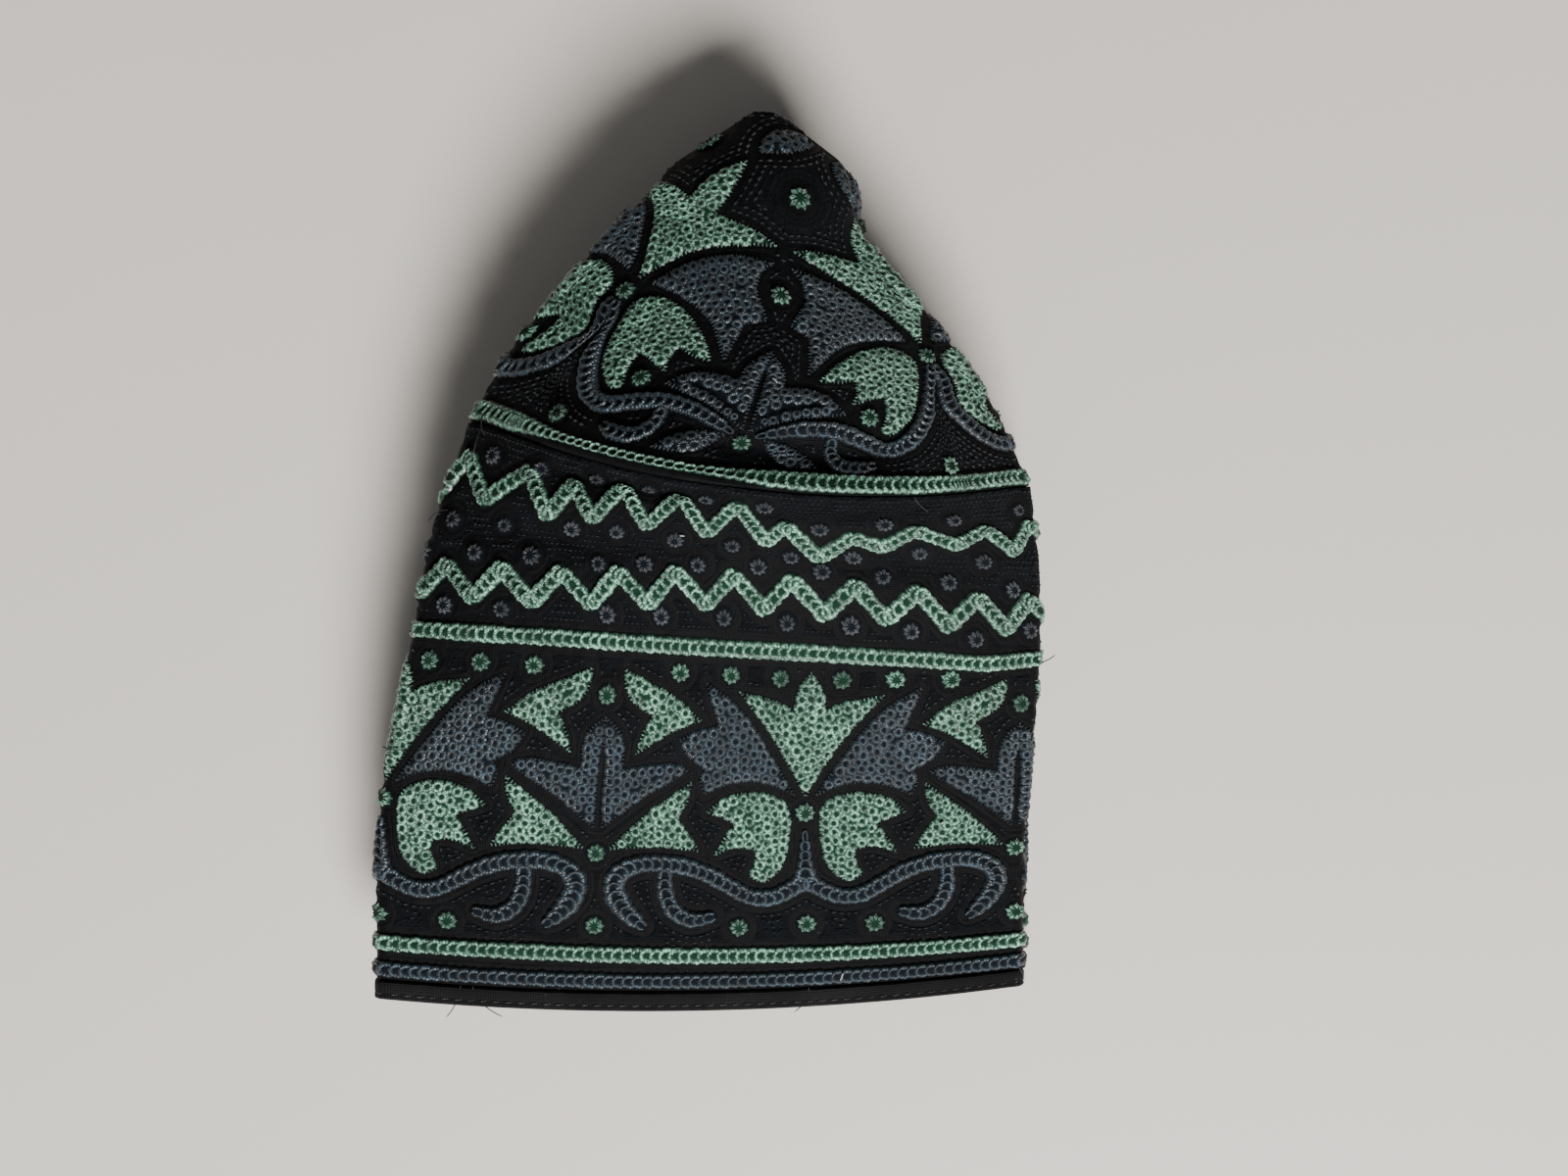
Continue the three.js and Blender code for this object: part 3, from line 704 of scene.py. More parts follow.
def band_turn(v):
    return levels_at(BAND_LEVELS, np.clip(v, 0, BAND_HEIGHT).ravel())["turn"].reshape(v.shape)


def band_to_chart(share, v):
    """Place on the chart of a point of the side wall, given by its share of the way round and its level."""
    s = apart(share * HEAD_GIRTH + band_turn(v))
    return s - band_drift(s, v), v


def band_to_cloth(x, v):
    """Level and share of the way round: band_to_chart turned about, by closing in on it."""
    x = apart(x)
    s = x.copy()
    for _ in range(8):
        s = x + band_drift(s, v)
    return v, ((s - band_turn(v)) / HEAD_GIRTH) % 1


# The crown's middle lies beside the tip of the fold, and the pattern is turned a little round it
CROWN_OFFSET = np.array([12.1, 1.6])


def crown_swirl(radius):
    return -3.0 - 7.5 * np.maximum(0, 1 - radius / 50)


def crown_drift(angle, radius):
    """Near the side folds the crown's edge is pulled in, more on the left."""
    left = -6.5 * ease((radius - 60) / 10) * ramp(angle, -31.5, -34.5) * (1 - ramp(angle, -60, -85))
    right = 3.8 * ease((radius - 62) / 10) * ramp(angle, 32, 35) * (1 - ramp(angle, 60, 85))
    return left + right


def crown_to_chart(share, radius):
    """Place on the chart of a point of the crown, given by its share of the way round and its radius."""
    shrink = 1 - (radius / CROWN_RADIUS) ** 2
    x, y = at_angle(radius, np.radians(share * 360))
    x, y = x - CROWN_OFFSET[0] * shrink, y - CROWN_OFFSET[1] * shrink
    out = np.hypot(x, y)
    turned = (np.degrees(np.arctan2(x, y)) - crown_swirl(out) + 180) % 360 - 180
    return at_angle(out, np.radians(turned + crown_drift(turned, out)))


def crown_to_cloth(x, y):
    """Radius and share of the way round: crown_to_chart turned about, by closing in on it."""
    out = np.hypot(x, y)
    wanted = np.degrees(np.arctan2(x, y))
    low, high = wanted - 9, wanted + 9
    for _ in range(24):
        middle = (low + high) / 2
        over = middle + crown_drift(middle, out) > wanted
        low, high = np.where(over, low, middle), np.where(over, middle, high)
    qx, qy = at_angle(out, np.radians(low + crown_swirl(out)))
    px, py = qx, qy
    for _ in range(14):
        shrink = 1 - np.minimum(np.hypot(px, py) / CROWN_RADIUS, 1) ** 2
        px, py = qx + CROWN_OFFSET[0] * shrink, qy + CROWN_OFFSET[1] * shrink
    return np.hypot(px, py), (np.degrees(np.arctan2(px, py)) / 360) % 1


def edge_stripe_width(angle):
    """The crown's last stripe is partly rolled under, where the front fold takes it."""
    hidden = ramp(angle, -34, -24) * (1 - ramp(angle, -2, 8))
    return mix(3.7, 1.6, hidden)


def crown_edge_eyes():
    angle, radius = np.array(CROWN_EDGE_EYES).T
    return np.stack(at_angle(radius, np.radians(angle)), -1)


# Cloth: the rows and columns of its grids, and the crown's last rings, in mm
BAND_ROWS, BAND_COLUMNS = 122, 570
CROWN_ROWS, CROWN_COLUMNS = 80, 480
LAST_RADIUS, TIP_RADII = 6.0, [4.6, 3.2, 1.8]
SEAM_BLEND = 4.0
PILLOW_START, PILLOW_SLOPE = 0.4, 1.5
GROOVE_MIDDLE, GROOVE_WIDTH = 0.7, 0.9


class Cloth:
    """A piece of cloth on a grid: rows of levels by columns of shares of the way round."""

    def __init__(self, levels, rings_at, columns, outward, half):
        self.levels, self.columns, self.half = levels, columns, half
        self.shares = np.arange(columns) / columns
        self.middle = rings_at(levels, self.shares)
        self.normal = outward * sheet_normals(self.middle, levels)

    def settle(self, lift):
        """Moves the outer face out by lift mm, and finds its own normals and directions."""
        self.outer = self.middle + self.normal * lift[..., None]
        self.around = unit(np.roll(self.outer, -1, 1) - np.roll(self.outer, 1, 1))
        self.ahead = unit(np.gradient(self.outer, self.levels, axis=0))

    def nearest(self):
        return np.minimum(*self.near.values())

    def place(self, level, share):
        """Position, normal, direction round and direction along the levels at each point."""
        order = np.argsort(self.levels)
        row = np.interp(level, self.levels[order], np.arange(len(order))[order].astype(float))
        column = (share % 1) * self.columns
        r0 = np.clip(row.astype(int), 0, len(self.levels) - 2)
        c0 = column.astype(int) % self.columns
        c1 = (c0 + 1) % self.columns
        fr, fc = (row - r0)[:, None], (column - np.floor(column))[:, None]

        def read(table):
            low = mix(table[r0, c0], table[r0, c1], fc)
            return mix(low, mix(table[r0 + 1, c0], table[r0 + 1, c1], fc), fr)

        around, ahead = unit(read(self.around)), unit(read(self.ahead))
        facing = unit(np.cross(around, ahead))
        facing *= np.sign(np.sum(facing * read(self.normal), 1, keepdims=True))
        return read(self.outer), facing, around, ahead


def unit(vectors):
    return vectors / np.maximum(np.linalg.norm(vectors, axis=-1, keepdims=True), 1e-12)


def sheet_normals(rings, levels):
    """Outward normals of a folded sheet whose rings run anticlockwise seen from its open end."""
    around = np.roll(rings, -1, 1) - np.roll(rings, 1, 1)
    return unit(np.cross(around, np.gradient(rings, levels, axis=0)))


def relief(near, cloth):
    """Height of the cloth over its plain face, by distance from the nearest embroidery."""
    pillow = cloth.pillow / MM * ease((PILLOW_START - near) / PILLOW_SLOPE)
    groove = cloth.groove / MM * np.exp(-(((near - GROOVE_MIDDLE) / GROOVE_WIDTH) ** 2))
    return pillow - groove


def read_round(ring, shares, wanted):
    """Values on a closed ring, read at other shares of the way round."""
    return np.stack([np.interp(wanted, np.append(shares, 1), np.append(ring[:, k], ring[0, k]))
                     for k in range(3)], -1)


def join_at_seam(band, crown):
    """Near the seam both pieces turn to face one shared way, so that they meet without a step."""
    seam = unit(read_round(crown.normal[0], crown.shares, band.shares) + band.normal[-1])
    crown_seam = read_round(seam, band.shares, crown.shares)
    for part, shared, edge in ((band, seam, BAND_HEIGHT), (crown, crown_seam, CROWN_RADIUS)):
        near_seam = ramp(part.levels, edge - SEAM_BLEND, edge)[:, None, None]
        part.normal = unit(mix(part.normal, shared[None], near_seam))


def band_distances(chart, x, v):
    """Distances to the nearest green and blue stitching all over the side wall."""
    near = chart.near(x, v)
    for colour in COLOURS:
        near[colour][v > CHART_REACH] = FAR
    for colour, width, points in ROUND_LINES.values():
        near[colour] = np.minimum(near[colour], np.abs(v - np.interp(x, *zip(*points))) - width / 2)
    high = v > ZIGZAGS_FROM
    for path in (low_zigzag(), high_zigzag()):
        line = np.column_stack([path, np.full(len(path), ZIGZAG_WIDTH)])
        away = distance_to_line(x[high], v[high], line)
        near["green"][high] = np.minimum(near["green"][high], away)
    high = v > EYES_FROM
    away = eye_distance(blue_eyes(), apart)(x[high], v[high])
    near["blue"][high] = np.minimum(near["blue"][high], away)
    return near


def crown_distances(chart, x, y):
    """Distances to the nearest green and blue stitching all over the crown."""
    near = chart.near(x, y)
    width = edge_stripe_width(np.degrees(np.arctan2(x, y)))
    stripe = np.abs(np.hypot(x, y) - EDGE_STRIPE) - width / 2
    eyes = eye_distance(crown_edge_eyes())(x, y)
    near["green"] = np.min([near["green"], stripe, eyes], axis=0)
    return near


STORE = {}


def prepare():
    """Works out the cloth's faces and the charts once, for every operator that needs them."""
    if STORE:
        return STORE
    cloth = bpy.context.scene.kumma_cloth
    half = cloth.thickness / MM / 2
    band_levels = np.linspace(HEM_HEIGHT + SEAM_GAP, BAND_HEIGHT - SEAM_GAP / 2, BAND_ROWS)
    radii = np.append(np.linspace(CROWN_RADIUS - SEAM_GAP / 2, LAST_RADIUS, CROWN_ROWS), TIP_RADII)
    band = Cloth(band_levels, band_rings, BAND_COLUMNS, 1, half)
    crown = Cloth(radii, crown_rings, CROWN_COLUMNS, -1, half)
    join_at_seam(band, crown)
    for part, name, chart, to_chart, distances in (
            (band, "band", BandChart(), band_to_chart, band_distances),
            (crown, "crown", CrownChart(), crown_to_chart, crown_distances)):
        part.near = distances(chart, *to_chart(*np.meshgrid(part.shares, part.levels)))
        part.settle(half + relief(part.nearest(), cloth))
        STORE[name], STORE[f"{name}_chart"] = part, chart
    return STORE


def charts():
    """For each cloth its name, its chart, and the way from the chart to the cloth."""
    store = prepare()
    return [(name, store[f"{name}_chart"], onto) for name, onto in (("band", on_band), ("crown", on_crown))]


# Node trees

class Tree:
    """Adds nodes to a tree: an input is a plain value, or the socket that feeds it."""

    def __init__(self, tree):
        self.tree = tree

    def link(self, output, socket):
        self.tree.links.new(output, socket)

    def add(self, kind, inputs=None, **settings):
        node = self.tree.nodes.new(kind)
        for name, value in settings.items():
            setattr(node, name, value)
        for name, value in (inputs or {}).items():
            socket = node.inputs[name]
            if isinstance(value, bpy.types.NodeSocket):
                self.link(value, socket)
            else:
                socket.default_value = value
        return node

    def math(self, operation, *values, clamp=False):
        inputs = dict(enumerate(values))
        return self.add("ShaderNodeMath", inputs, operation=operation, use_clamp=clamp).outputs[0]

    def noise(self, place, scale, detail):
        """A cloudy value from 0 to 1."""
        inputs = {"Vector": place, "Scale": scale, "Detail": detail}
        return self.add("ShaderNodeTexNoise", inputs).outputs["Fac"]

    def spots(self, place, scale):
        """Distance to the nearest of many scattered points."""
        inputs = {"Vector": place, "Scale": scale}
        return self.add("ShaderNodeTexVoronoi", inputs, feature="F1").outputs["Distance"]

    def position(self):
        return self.add("ShaderNodeTexCoord").outputs["Object"]

    def step(self, value, start, end, low=0.0, high=1.0):
        """Goes smoothly from low to high as value goes from start to end."""
        inputs = {"Value": value, "From Min": start, "From Max": end, "To Min": low, "To Max": high}
        return self.add("ShaderNodeMapRange", inputs, interpolation_type="SMOOTHSTEP").outputs["Result"]

    def blend(self, factor, first, second, blend_type="MIX"):
        node = self.add("ShaderNodeMix", data_type="RGBA", blend_type=blend_type, clamp_factor=True)
        for index, value in ((0, factor), (6, first), (7, second)):
            if isinstance(value, bpy.types.NodeSocket):
                self.link(value, node.inputs[index])
            else:
                node.inputs[index].default_value = value if index == 0 else (*value[:3], 1.0)
        return node.outputs[2]

    def attribute(self, name, output="Fac"):
        return self.add("ShaderNodeAttribute", attribute_name=name, attribute_type="GEOMETRY").outputs[output]

    def group(self, group, inputs):
        return self.add("ShaderNodeGroup", inputs, node_tree=group).outputs


def new_group(name, inputs, outputs):
    """A shared effect: its inputs are places and numbers, its outputs are heights, shades and masks."""
    group = bpy.data.node_groups.new(name, "ShaderNodeTree")
    for label, value in inputs.items():
        kind = "NodeSocketVector" if isinstance(value, tuple) else "NodeSocketFloat"
        group.interface.new_socket(label, in_out="INPUT", socket_type=kind).default_value = value
    for label in outputs:
        group.interface.new_socket(label, in_out="OUTPUT", socket_type="NodeSocketFloat")
    tree = Tree(group)
    return group, tree, tree.add("NodeGroupInput"), tree.add("NodeGroupOutput")


def weave_group():
    """Plain weave laid along the flat cloth, with slubs: a height and a shade."""
    known = bpy.data.node_groups.get("cloth_weave")
    if known:
        return known
    group, tree, given, made = new_group(
        "cloth_weave", {"Flat": (0, 0, 0), "Thread Pitch": 0.45, "Slub": 0.35}, ("Height", "Shade"))
    parts = tree.add("ShaderNodeSeparateXYZ", {0: given.outputs["Flat"]})
    turns = tree.math("DIVIDE", math.tau / 2, given.outputs["Thread Pitch"])
    across = tree.math("SINE", tree.math("MULTIPLY", parts.outputs[0], turns))
    upward = tree.math("SINE", tree.math("MULTIPLY", parts.outputs[1], turns))
    over = tree.math("ABSOLUTE", tree.math("MULTIPLY", across, upward))
    slub = tree.add("ShaderNodeTexNoise", {"Vector": given.outputs["Flat"], "Scale": 1.7, "Detail": 4.0,
                                           "Roughness": 0.65}).outputs["Fac"]
    rough = tree.math("MULTIPLY", slub, given.outputs["Slub"])
    tree.link(tree.math("ADD", over, rough), made.inputs["Height"])
    shade = tree.math("MULTIPLY_ADD", over, 0.35, tree.step(slub, 0.3, 0.7, 0.55, 1.1))
    tree.link(shade, made.inputs["Shade"])
    return group


def fibre_group():
    """Fine threads that run across a stitch, painted darker between the strands as painted shade, and a crest
    mask for the thread's painted highlight: a height, a shade and a crest.
    """
    known = bpy.data.node_groups.get("thread_fibre")
    if known:
        return known
    group, tree, given, made = new_group(
        "thread_fibre", {"Along": (0, 0, 0), "Threads": 12.0, "Tone": 0.5}, ("Height", "Shade", "Crest"))
    parts = tree.add("ShaderNodeSeparateXYZ", {0: given.outputs["Along"]})
    turns = tree.math("MULTIPLY", given.outputs["Threads"], math.tau)
    strand = tree.math("SINE", tree.math("MULTIPLY", parts.outputs[0], turns))
    strand = tree.math("MULTIPLY_ADD", strand, 0.5, 0.5)
    crest = tree.math("MULTIPLY", tree.step(parts.outputs[1], 0.0, 0.5),
                      tree.step(parts.outputs[1], 1.0, 0.55, 0.22, 1.0))
    tree.link(tree.math("MULTIPLY", strand, crest), made.inputs["Height"])
    tone = tree.step(given.outputs["Tone"], 0.0, 1.0, 0.6, 1.3)
    # Painted shade: the colour is darker between the strands, times each stitch's own random tone
    shade = tree.math("MULTIPLY", tone, tree.math("MULTIPLY_ADD", strand, 0.7, 0.55))
    tree.link(shade, made.inputs["Shade"])
    tree.link(crest, made.inputs["Crest"])
    return group


def dust_group():
    """Sparse pale lint caught on the cloth: a mask."""
    known = bpy.data.node_groups.get("dust_specks")
    if known:
        return known
    group, tree, given, made = new_group(
        "dust_specks", {"Place": (0, 0, 0), "Scale": 260.0, "Amount": 0.05}, ("Mask",))
    speck = tree.spots(given.outputs["Place"], given.outputs["Scale"])
    where = tree.noise(given.outputs["Place"], 70.0, 3.0)
    mask = tree.math("MULTIPLY", tree.step(speck, 0.12, 0.05), tree.step(where, 0.55, 0.7))
    tree.link(tree.math("MULTIPLY", mask, given.outputs["Amount"]), made.inputs["Mask"])
    return group


def new_material(name):
    material = bpy.data.materials.get(name)
    if material:
        return material, None, None
    material = bpy.data.materials.new(name)
    material.use_nodes = True
    return material, Tree(material.node_tree), material.node_tree.nodes["Principled BSDF"]


def cotton(tree, thread_pitch, slub, dust_scale):
    """What each cotton reads: its flat place in mm, its place on the piece, its weave and its dust."""
    flat = tree.add("ShaderNodeUVMap", uv_map="flat_cloth").outputs["UV"]
    in_mm = tree.add("ShaderNodeVectorMath", {0: flat, "Scale": 1 / MM}, operation="SCALE").outputs[0]
    place = tree.position()
    weave = tree.group(weave_group(), {"Flat": in_mm, "Thread Pitch": thread_pitch, "Slub": slub})
    dust = tree.group(dust_group(), {"Place": place, "Scale": dust_scale, "Amount": 0.10})["Mask"]
    return in_mm, place, weave, dust


def feed(tree, shader, colour, roughness, height, relief_depth, sheen, specular):
    """Gives the shader what changes over the surface, and its own sockets what is the same everywhere."""
    tree.link(colour, shader.inputs["Base Color"])
    tree.link(roughness, shader.inputs["Roughness"])
    shader.inputs["Sheen Weight"].default_value = sheen
    shader.inputs["Specular IOR Level"].default_value = specular
    strength, depth = relief_depth
    bump = tree.add("ShaderNodeBump", {"Height": height, "Strength": strength, "Distance": depth})
    tree.link(bump.outputs["Normal"], shader.inputs["Normal"])


COTTON_DUST = (0.35, 0.34, 0.33)
THREAD_DUST = (0.6, 0.6, 0.58)
RUBBED_HEM = (0.009, 0.0075, 0.0072)
# Distances from the embroidery, in mm: rows of small stitches repeat at the pitch, out on the open ground,
# and the smooth cord lies beside each shape with its crest at CORD_MIDDLE
ROW_PITCH = 1.6
CORD_MIDDLE, CORD_HALF = 1.0, 0.85


def quilt_material():
    """Black quilted cotton: charcoal ground; echo rows and swells with painted highlight; black outline cord
    with the groove's painted shade; painted thread shade under the stitches.
    """
    cloth, thread = bpy.context.scene.kumma_cloth, bpy.context.scene.kumma_thread
    material, tree, shader = new_material("quilted_cotton")
    if tree is None:
        return material
    green, blue = tree.attribute("green_mm"), tree.attribute("blue_mm")
    near = tree.math("MINIMUM", green, blue)
    in_mm, _, weave, dust = cotton(tree, 0.5, 0.5, 420.0)
    rows = tree.math("SINE", tree.math("MULTIPLY", near, math.tau / ROW_PITCH))
    rows = tree.math("MULTIPLY_ADD", rows, 0.5, 0.5)
    open_ground = tree.step(near, 1.9, 2.5)
    beads = tree.math("MULTIPLY", rows, tree.step(tree.spots(in_mm, 1.15), 0.75, 0.15))
    echo = tree.math("MULTIPLY", beads, open_ground)
    swell = tree.noise(in_mm, 0.22, 2.0)
    cord = tree.math("MULTIPLY", tree.step(near, 0.1, 0.45), tree.step(near, 1.9, 1.5))
    from_middle = tree.math("SUBTRACT", near, CORD_MIDDLE)
    from_crest = tree.math("ABSOLUTE", tree.math("DIVIDE", from_middle, CORD_HALF))
    hump = tree.math("SUBTRACT", 1.0, from_crest, clamp=True)
    # Painted highlight: the rows of ground stitches are drawn lighter, as the sheen on their black thread
    tint = tree.math("MULTIPLY", weave["Shade"], tree.math("MULTIPLY_ADD", echo, 0.9, 0.7))
    # Painted highlight: the ground is lighter where the cloth swells up, by the same noise that raises it
    tint = tree.math("MULTIPLY", tint, tree.step(swell, 0.3, 0.7, 0.7, 1.4))
    ground = tree.blend(1.0, cloth.ground, tint, "MULTIPLY")
    # Partly painted shade: the band beside each shape takes the cord colour, black cord and the groove's shade
    # together
    colour = tree.blend(cord, ground, cloth.cord)
    colour = tree.blend(dust, colour, COTTON_DUST)
    # Painted shade: under the nets and eyelets the cloth takes the thread's shaded colour, as seen down in
    # their holes
    for away, deep in ((green, thread.green_in_shade), (blue, thread.blue_in_shade)):
        colour = tree.blend(tree.step(away, -0.15, -0.6), colour, deep)
    height = tree.math("MULTIPLY_ADD", weave["Height"], 0.12, tree.math("MULTIPLY", hump, 0.3))
    height = tree.math("MULTIPLY_ADD", echo, 1.0, height)
    height = tree.math("MULTIPLY_ADD", swell, 1.6, height)
    feed(tree, shader, colour, tree.step(cord, 0.0, 1.0, 0.85, 0.68), height, (1.0, 0.0006), 0.015, 0.12)
    return material


def hem_material():
    """Plain black cotton, faintly brown where it is rubbed."""
    material, tree, shader = new_material("hem_cotton")
    if tree is None:
        return material
    _, place, weave, dust = cotton(tree, 0.55, 0.8, 380.0)
    worn = tree.noise(place, 60.0, 4.0)
    colour = tree.blend(tree.step(worn, 0.45, 0.75, 0.0, 0.6), bpy.context.scene.kumma_cloth.hem, RUBBED_HEM)
    colour = tree.blend(1.0, colour, weave["Shade"], "MULTIPLY")
    colour = tree.blend(dust, colour, COTTON_DUST)
    roughness = tree.step(worn, 0.3, 0.7, 0.8, 0.65)
    feed(tree, shader, colour, roughness, weave["Height"], (0.8, 0.00018), 0.02, 0.2)
    return material


def thread_material(name, bright, deep, threads=12.0, roughness=0.38, sheen=0.12):
    """Shiny thread: painted highlight on the crest of a stitch, painted shade down in its hole and at its foot,
    and painted glints.
    """
    material, tree, shader = new_material(name)
    if tree is None:
        return material
    place = tree.position()
    fibre = tree.group(fibre_group(), {"Along": tree.attribute("thread_uv", "Vector"), "Threads": threads,
                                       "Tone": tree.attribute("tone")})
    glint = tree.noise(place, 1450.0, 2.0)
    patches = tree.step(tree.noise(place, 38.0, 3.0), 0.3, 0.7, 0.82, 1.12)
    shade = tree.math("MULTIPLY", fibre["Shade"], patches)
    # Painted highlight: glint specks brighten the colour, and the same noise sets the roughness below
    shade = tree.math("MULTIPLY", shade, tree.step(glint, 0.41, 0.62, 0.36, 1.95))
    colour = tree.blend(1.0, bright, shade, "MULTIPLY")
    # Painted shade and painted highlight: the deep colour at the stitch's foot and in its hole, the bright
    # colour on its crest
    colour = tree.blend(fibre["Crest"], deep, colour)
    dust = tree.group(dust_group(), {"Place": place, "Scale": 300.0, "Amount": 0.08})["Mask"]
    colour = tree.blend(dust, colour, THREAD_DUST)
    dull = tree.step(glint, 0.3, 0.7, roughness + 0.12, roughness - 0.14)
    feed(tree, shader, colour, dull, fibre["Height"], (0.9, 0.00012), sheen, 0.6)
    return material


def green_thread():
    thread = bpy.context.scene.kumma_thread
    return thread_material("green_thread", thread.green, thread.green_in_shade)


def blue_thread():
    thread = bpy.context.scene.kumma_thread
    return thread_material("blue_thread", thread.blue, thread.blue_in_shade, roughness=0.48)


def slate_thread():
    return thread_material("slate_thread", (0.060, 0.066, 0.078), (0.005, 0.006, 0.008), roughness=0.48)


def black_thread():
    return thread_material("black_thread", (0.0064, 0.0068, 0.0088), (0.004, 0.004, 0.005), threads=3.0,
                           roughness=0.62, sheen=0.03)


def hem_thread():
    return thread_material("hem_thread", (0.030, 0.023, 0.021), (0.006, 0.005, 0.005), threads=3.0,
                           roughness=0.5, sheen=0.1)


def lint_fibre():
    return thread_material("lint", (0.72, 0.70, 0.66), (0.4, 0.39, 0.37), threads=2.0)


THREADS = {"green": green_thread, "blue": blue_thread}


# Stitches

def stitch_tree():
    """Sets one stitch on every point: turned to the cloth, sized, slightly uneven, then made real."""
    known = bpy.data.node_groups.get("stitches_on_cloth")
    if known:
        return known
    group = bpy.data.node_groups.new("stitches_on_cloth", "GeometryNodeTree")
    group.interface.new_socket("Geometry", in_out="INPUT", socket_type="NodeSocketGeometry")
    for label, kind in (("Stitch", "NodeSocketObject"), ("Thread", "NodeSocketMaterial"),
                        ("Length", "NodeSocketFloat"), ("Width", "NodeSocketFloat"),
                        ("Height", "NodeSocketFloat"), ("Unevenness", "NodeSocketFloat"),
                        ("Seed", "NodeSocketInt")):
        group.interface.new_socket(label, in_out="INPUT", socket_type=kind)
    group.interface.new_socket("Geometry", in_out="OUTPUT", socket_type="NodeSocketGeometry")
    tree = Tree(group)
    given, made = tree.add("NodeGroupInput").outputs, tree.add("NodeGroupOutput")

    def named(name, kind):
        node = tree.add("GeometryNodeInputNamedAttribute", data_type=kind)
        node.inputs["Name"].default_value = name
        return node.outputs["Attribute"]

    facing = tree.add("FunctionNodeAxesToRotation", {0: named("facing", "FLOAT_VECTOR"),
                                                     1: named("heading", "FLOAT_VECTOR")},
                      primary_axis="Z", secondary_axis="X").outputs[0]
    uneven = tree.add("FunctionNodeRandomValue", data_type="FLOAT")
    tree.link(given["Seed"], uneven.inputs["Seed"])
    off = tree.math("SUBTRACT", uneven.outputs[1], 0.5)
    spread = tree.math("MULTIPLY_ADD", off, given["Unevenness"], 1.0)
    size = tree.add("ShaderNodeCombineXYZ", dict(enumerate(given[n] for n in ("Length", "Width", "Height"))))
    size = size.outputs[0]
    size = tree.add("ShaderNodeVectorMath", {0: size, 1: named("size", "FLOAT_VECTOR")},
                    operation="MULTIPLY").outputs[0]
    size = tree.add("ShaderNodeVectorMath", {0: size, "Scale": spread}, operation="SCALE").outputs[0]
    stitch = tree.add("GeometryNodeObjectInfo", {"Object": given["Stitch"], "As Instance": True},
                      transform_space="ORIGINAL").outputs["Geometry"]
    placed = tree.add("GeometryNodeInstanceOnPoints", {"Points": given["Geometry"], "Instance": stitch,
                                                       "Rotation": facing, "Scale": size}).outputs[0]
    tone = tree.add("FunctionNodeRandomValue", data_type="FLOAT")
    tree.link(tree.math("ADD", given["Seed"], 31.0), tone.inputs["Seed"])
    toned = tree.add("GeometryNodeStoreNamedAttribute", {"Geometry": placed}, data_type="FLOAT",
                     domain="INSTANCE")
    toned.inputs["Name"].default_value = "tone"
    tree.link(tone.outputs[1], toned.inputs["Value"])
    real = tree.add("GeometryNodeRealizeInstances", {"Geometry": toned.outputs[0]}).outputs[0]
    final = tree.add("GeometryNodeSetMaterial", {"Geometry": real, "Material": given["Thread"]}).outputs[0]
    tree.link(final, made.inputs[0])
    return group


def set_input(modifier, label, value):
    for item in modifier.node_group.interface.items_tree:
        if item.item_type == "SOCKET" and item.in_out == "INPUT" and item.name == label:
            modifier[item.identifier] = value
            return
    raise RuntimeError(f"the tree has no input named {label}")


def profile_mesh(name, rows, closed_across=False):
    """A small strip mesh: rows of points, with thread_uv running along the rows and across them."""
    verts = [point for row in rows for point in row]
    count = len(rows[0])
    faces, uvs = [], []
    last = count if closed_across else count - 1
    for i in range(len(rows) - 1):
        for j in range(last):
            k = (j + 1) % count
            faces.append((i * count + j, i * count + k, (i + 1) * count + k, (i + 1) * count + j))
            u0, u1 = j / last, (j + 1) / last
            v0, v1 = i / (len(rows) - 1), (i + 1) / (len(rows) - 1)
            uvs += [(u0, v0), (u1, v0), (u1, v1), (u0, v1)]
    return plain_stitch(name, verts, faces, uvs)


def plain_stitch(name, verts, faces, uvs):
    """A hidden object for the stitch tree to copy, with thread_uv on its corners."""
    mesh = bpy.data.meshes.new(name)
    mesh.from_pydata(verts, [], faces)
    layer = mesh.uv_layers.new(name="thread_uv")
    layer.data.foreach_set("uv", np.array(uvs, float).ravel())
    mesh.update()
    stitch = bpy.data.objects.new(name, mesh)
    stitch.hide_render = stitch.hide_viewport = True
    bpy.context.scene.collection.objects.link(stitch)
    return stitch


def ring_stitch():
    """One loop of the net: a broad low ring round a small pit, 1 across and 1 high, crimped by strands."""
    turn = np.linspace(0, math.tau, 10, endpoint=False)
    rows = [[(r * math.cos(a), r * math.sin(a), z * (crimp if i % 2 else 1.0) * (0.72 + 0.28 * math.cos(a)))
             for i, a in enumerate(turn)]
            for r, z, crimp in ((0.16, 0.0, 1.0), (0.29, 0.9, 0.7), (0.41, 1.0, 0.62), (0.56, 0.0, 1.0))]
    return profile_mesh("loop_stitch", [row[::-1] for row in rows], closed_across=True)


def eye_stitch():
    """An eyelet: short stitches set like a star round a hole, every other one a little shorter."""
    petals = 9
    verts, faces, uvs = [], [], []
    for i in range(petals):
        angle = math.tau * i / petals
        sine, cosine = math.sin(angle), math.cos(angle)
        start = len(verts)
        for out, side, z in ((0.14, 0.0, 0.4), (0.33, 0.115, 0.0), (0.5 - 0.05 * (i % 2), 0.0, 0.0),
                             (0.33, -0.115, 0.0), (0.30, 0.0, 1.0)):
            verts.append((out * cosine - side * sine, out * sine + side * cosine, z))
        for a, b in ((3, 0), (2, 3), (1, 2), (0, 1)):
            faces.append((start + b, start + a, start + 4))
            uvs += [(0.0, 0.36), (1.0, 0.36), (0.5, 0.5)]
    return plain_stitch("eye_stitch", verts, faces, uvs)


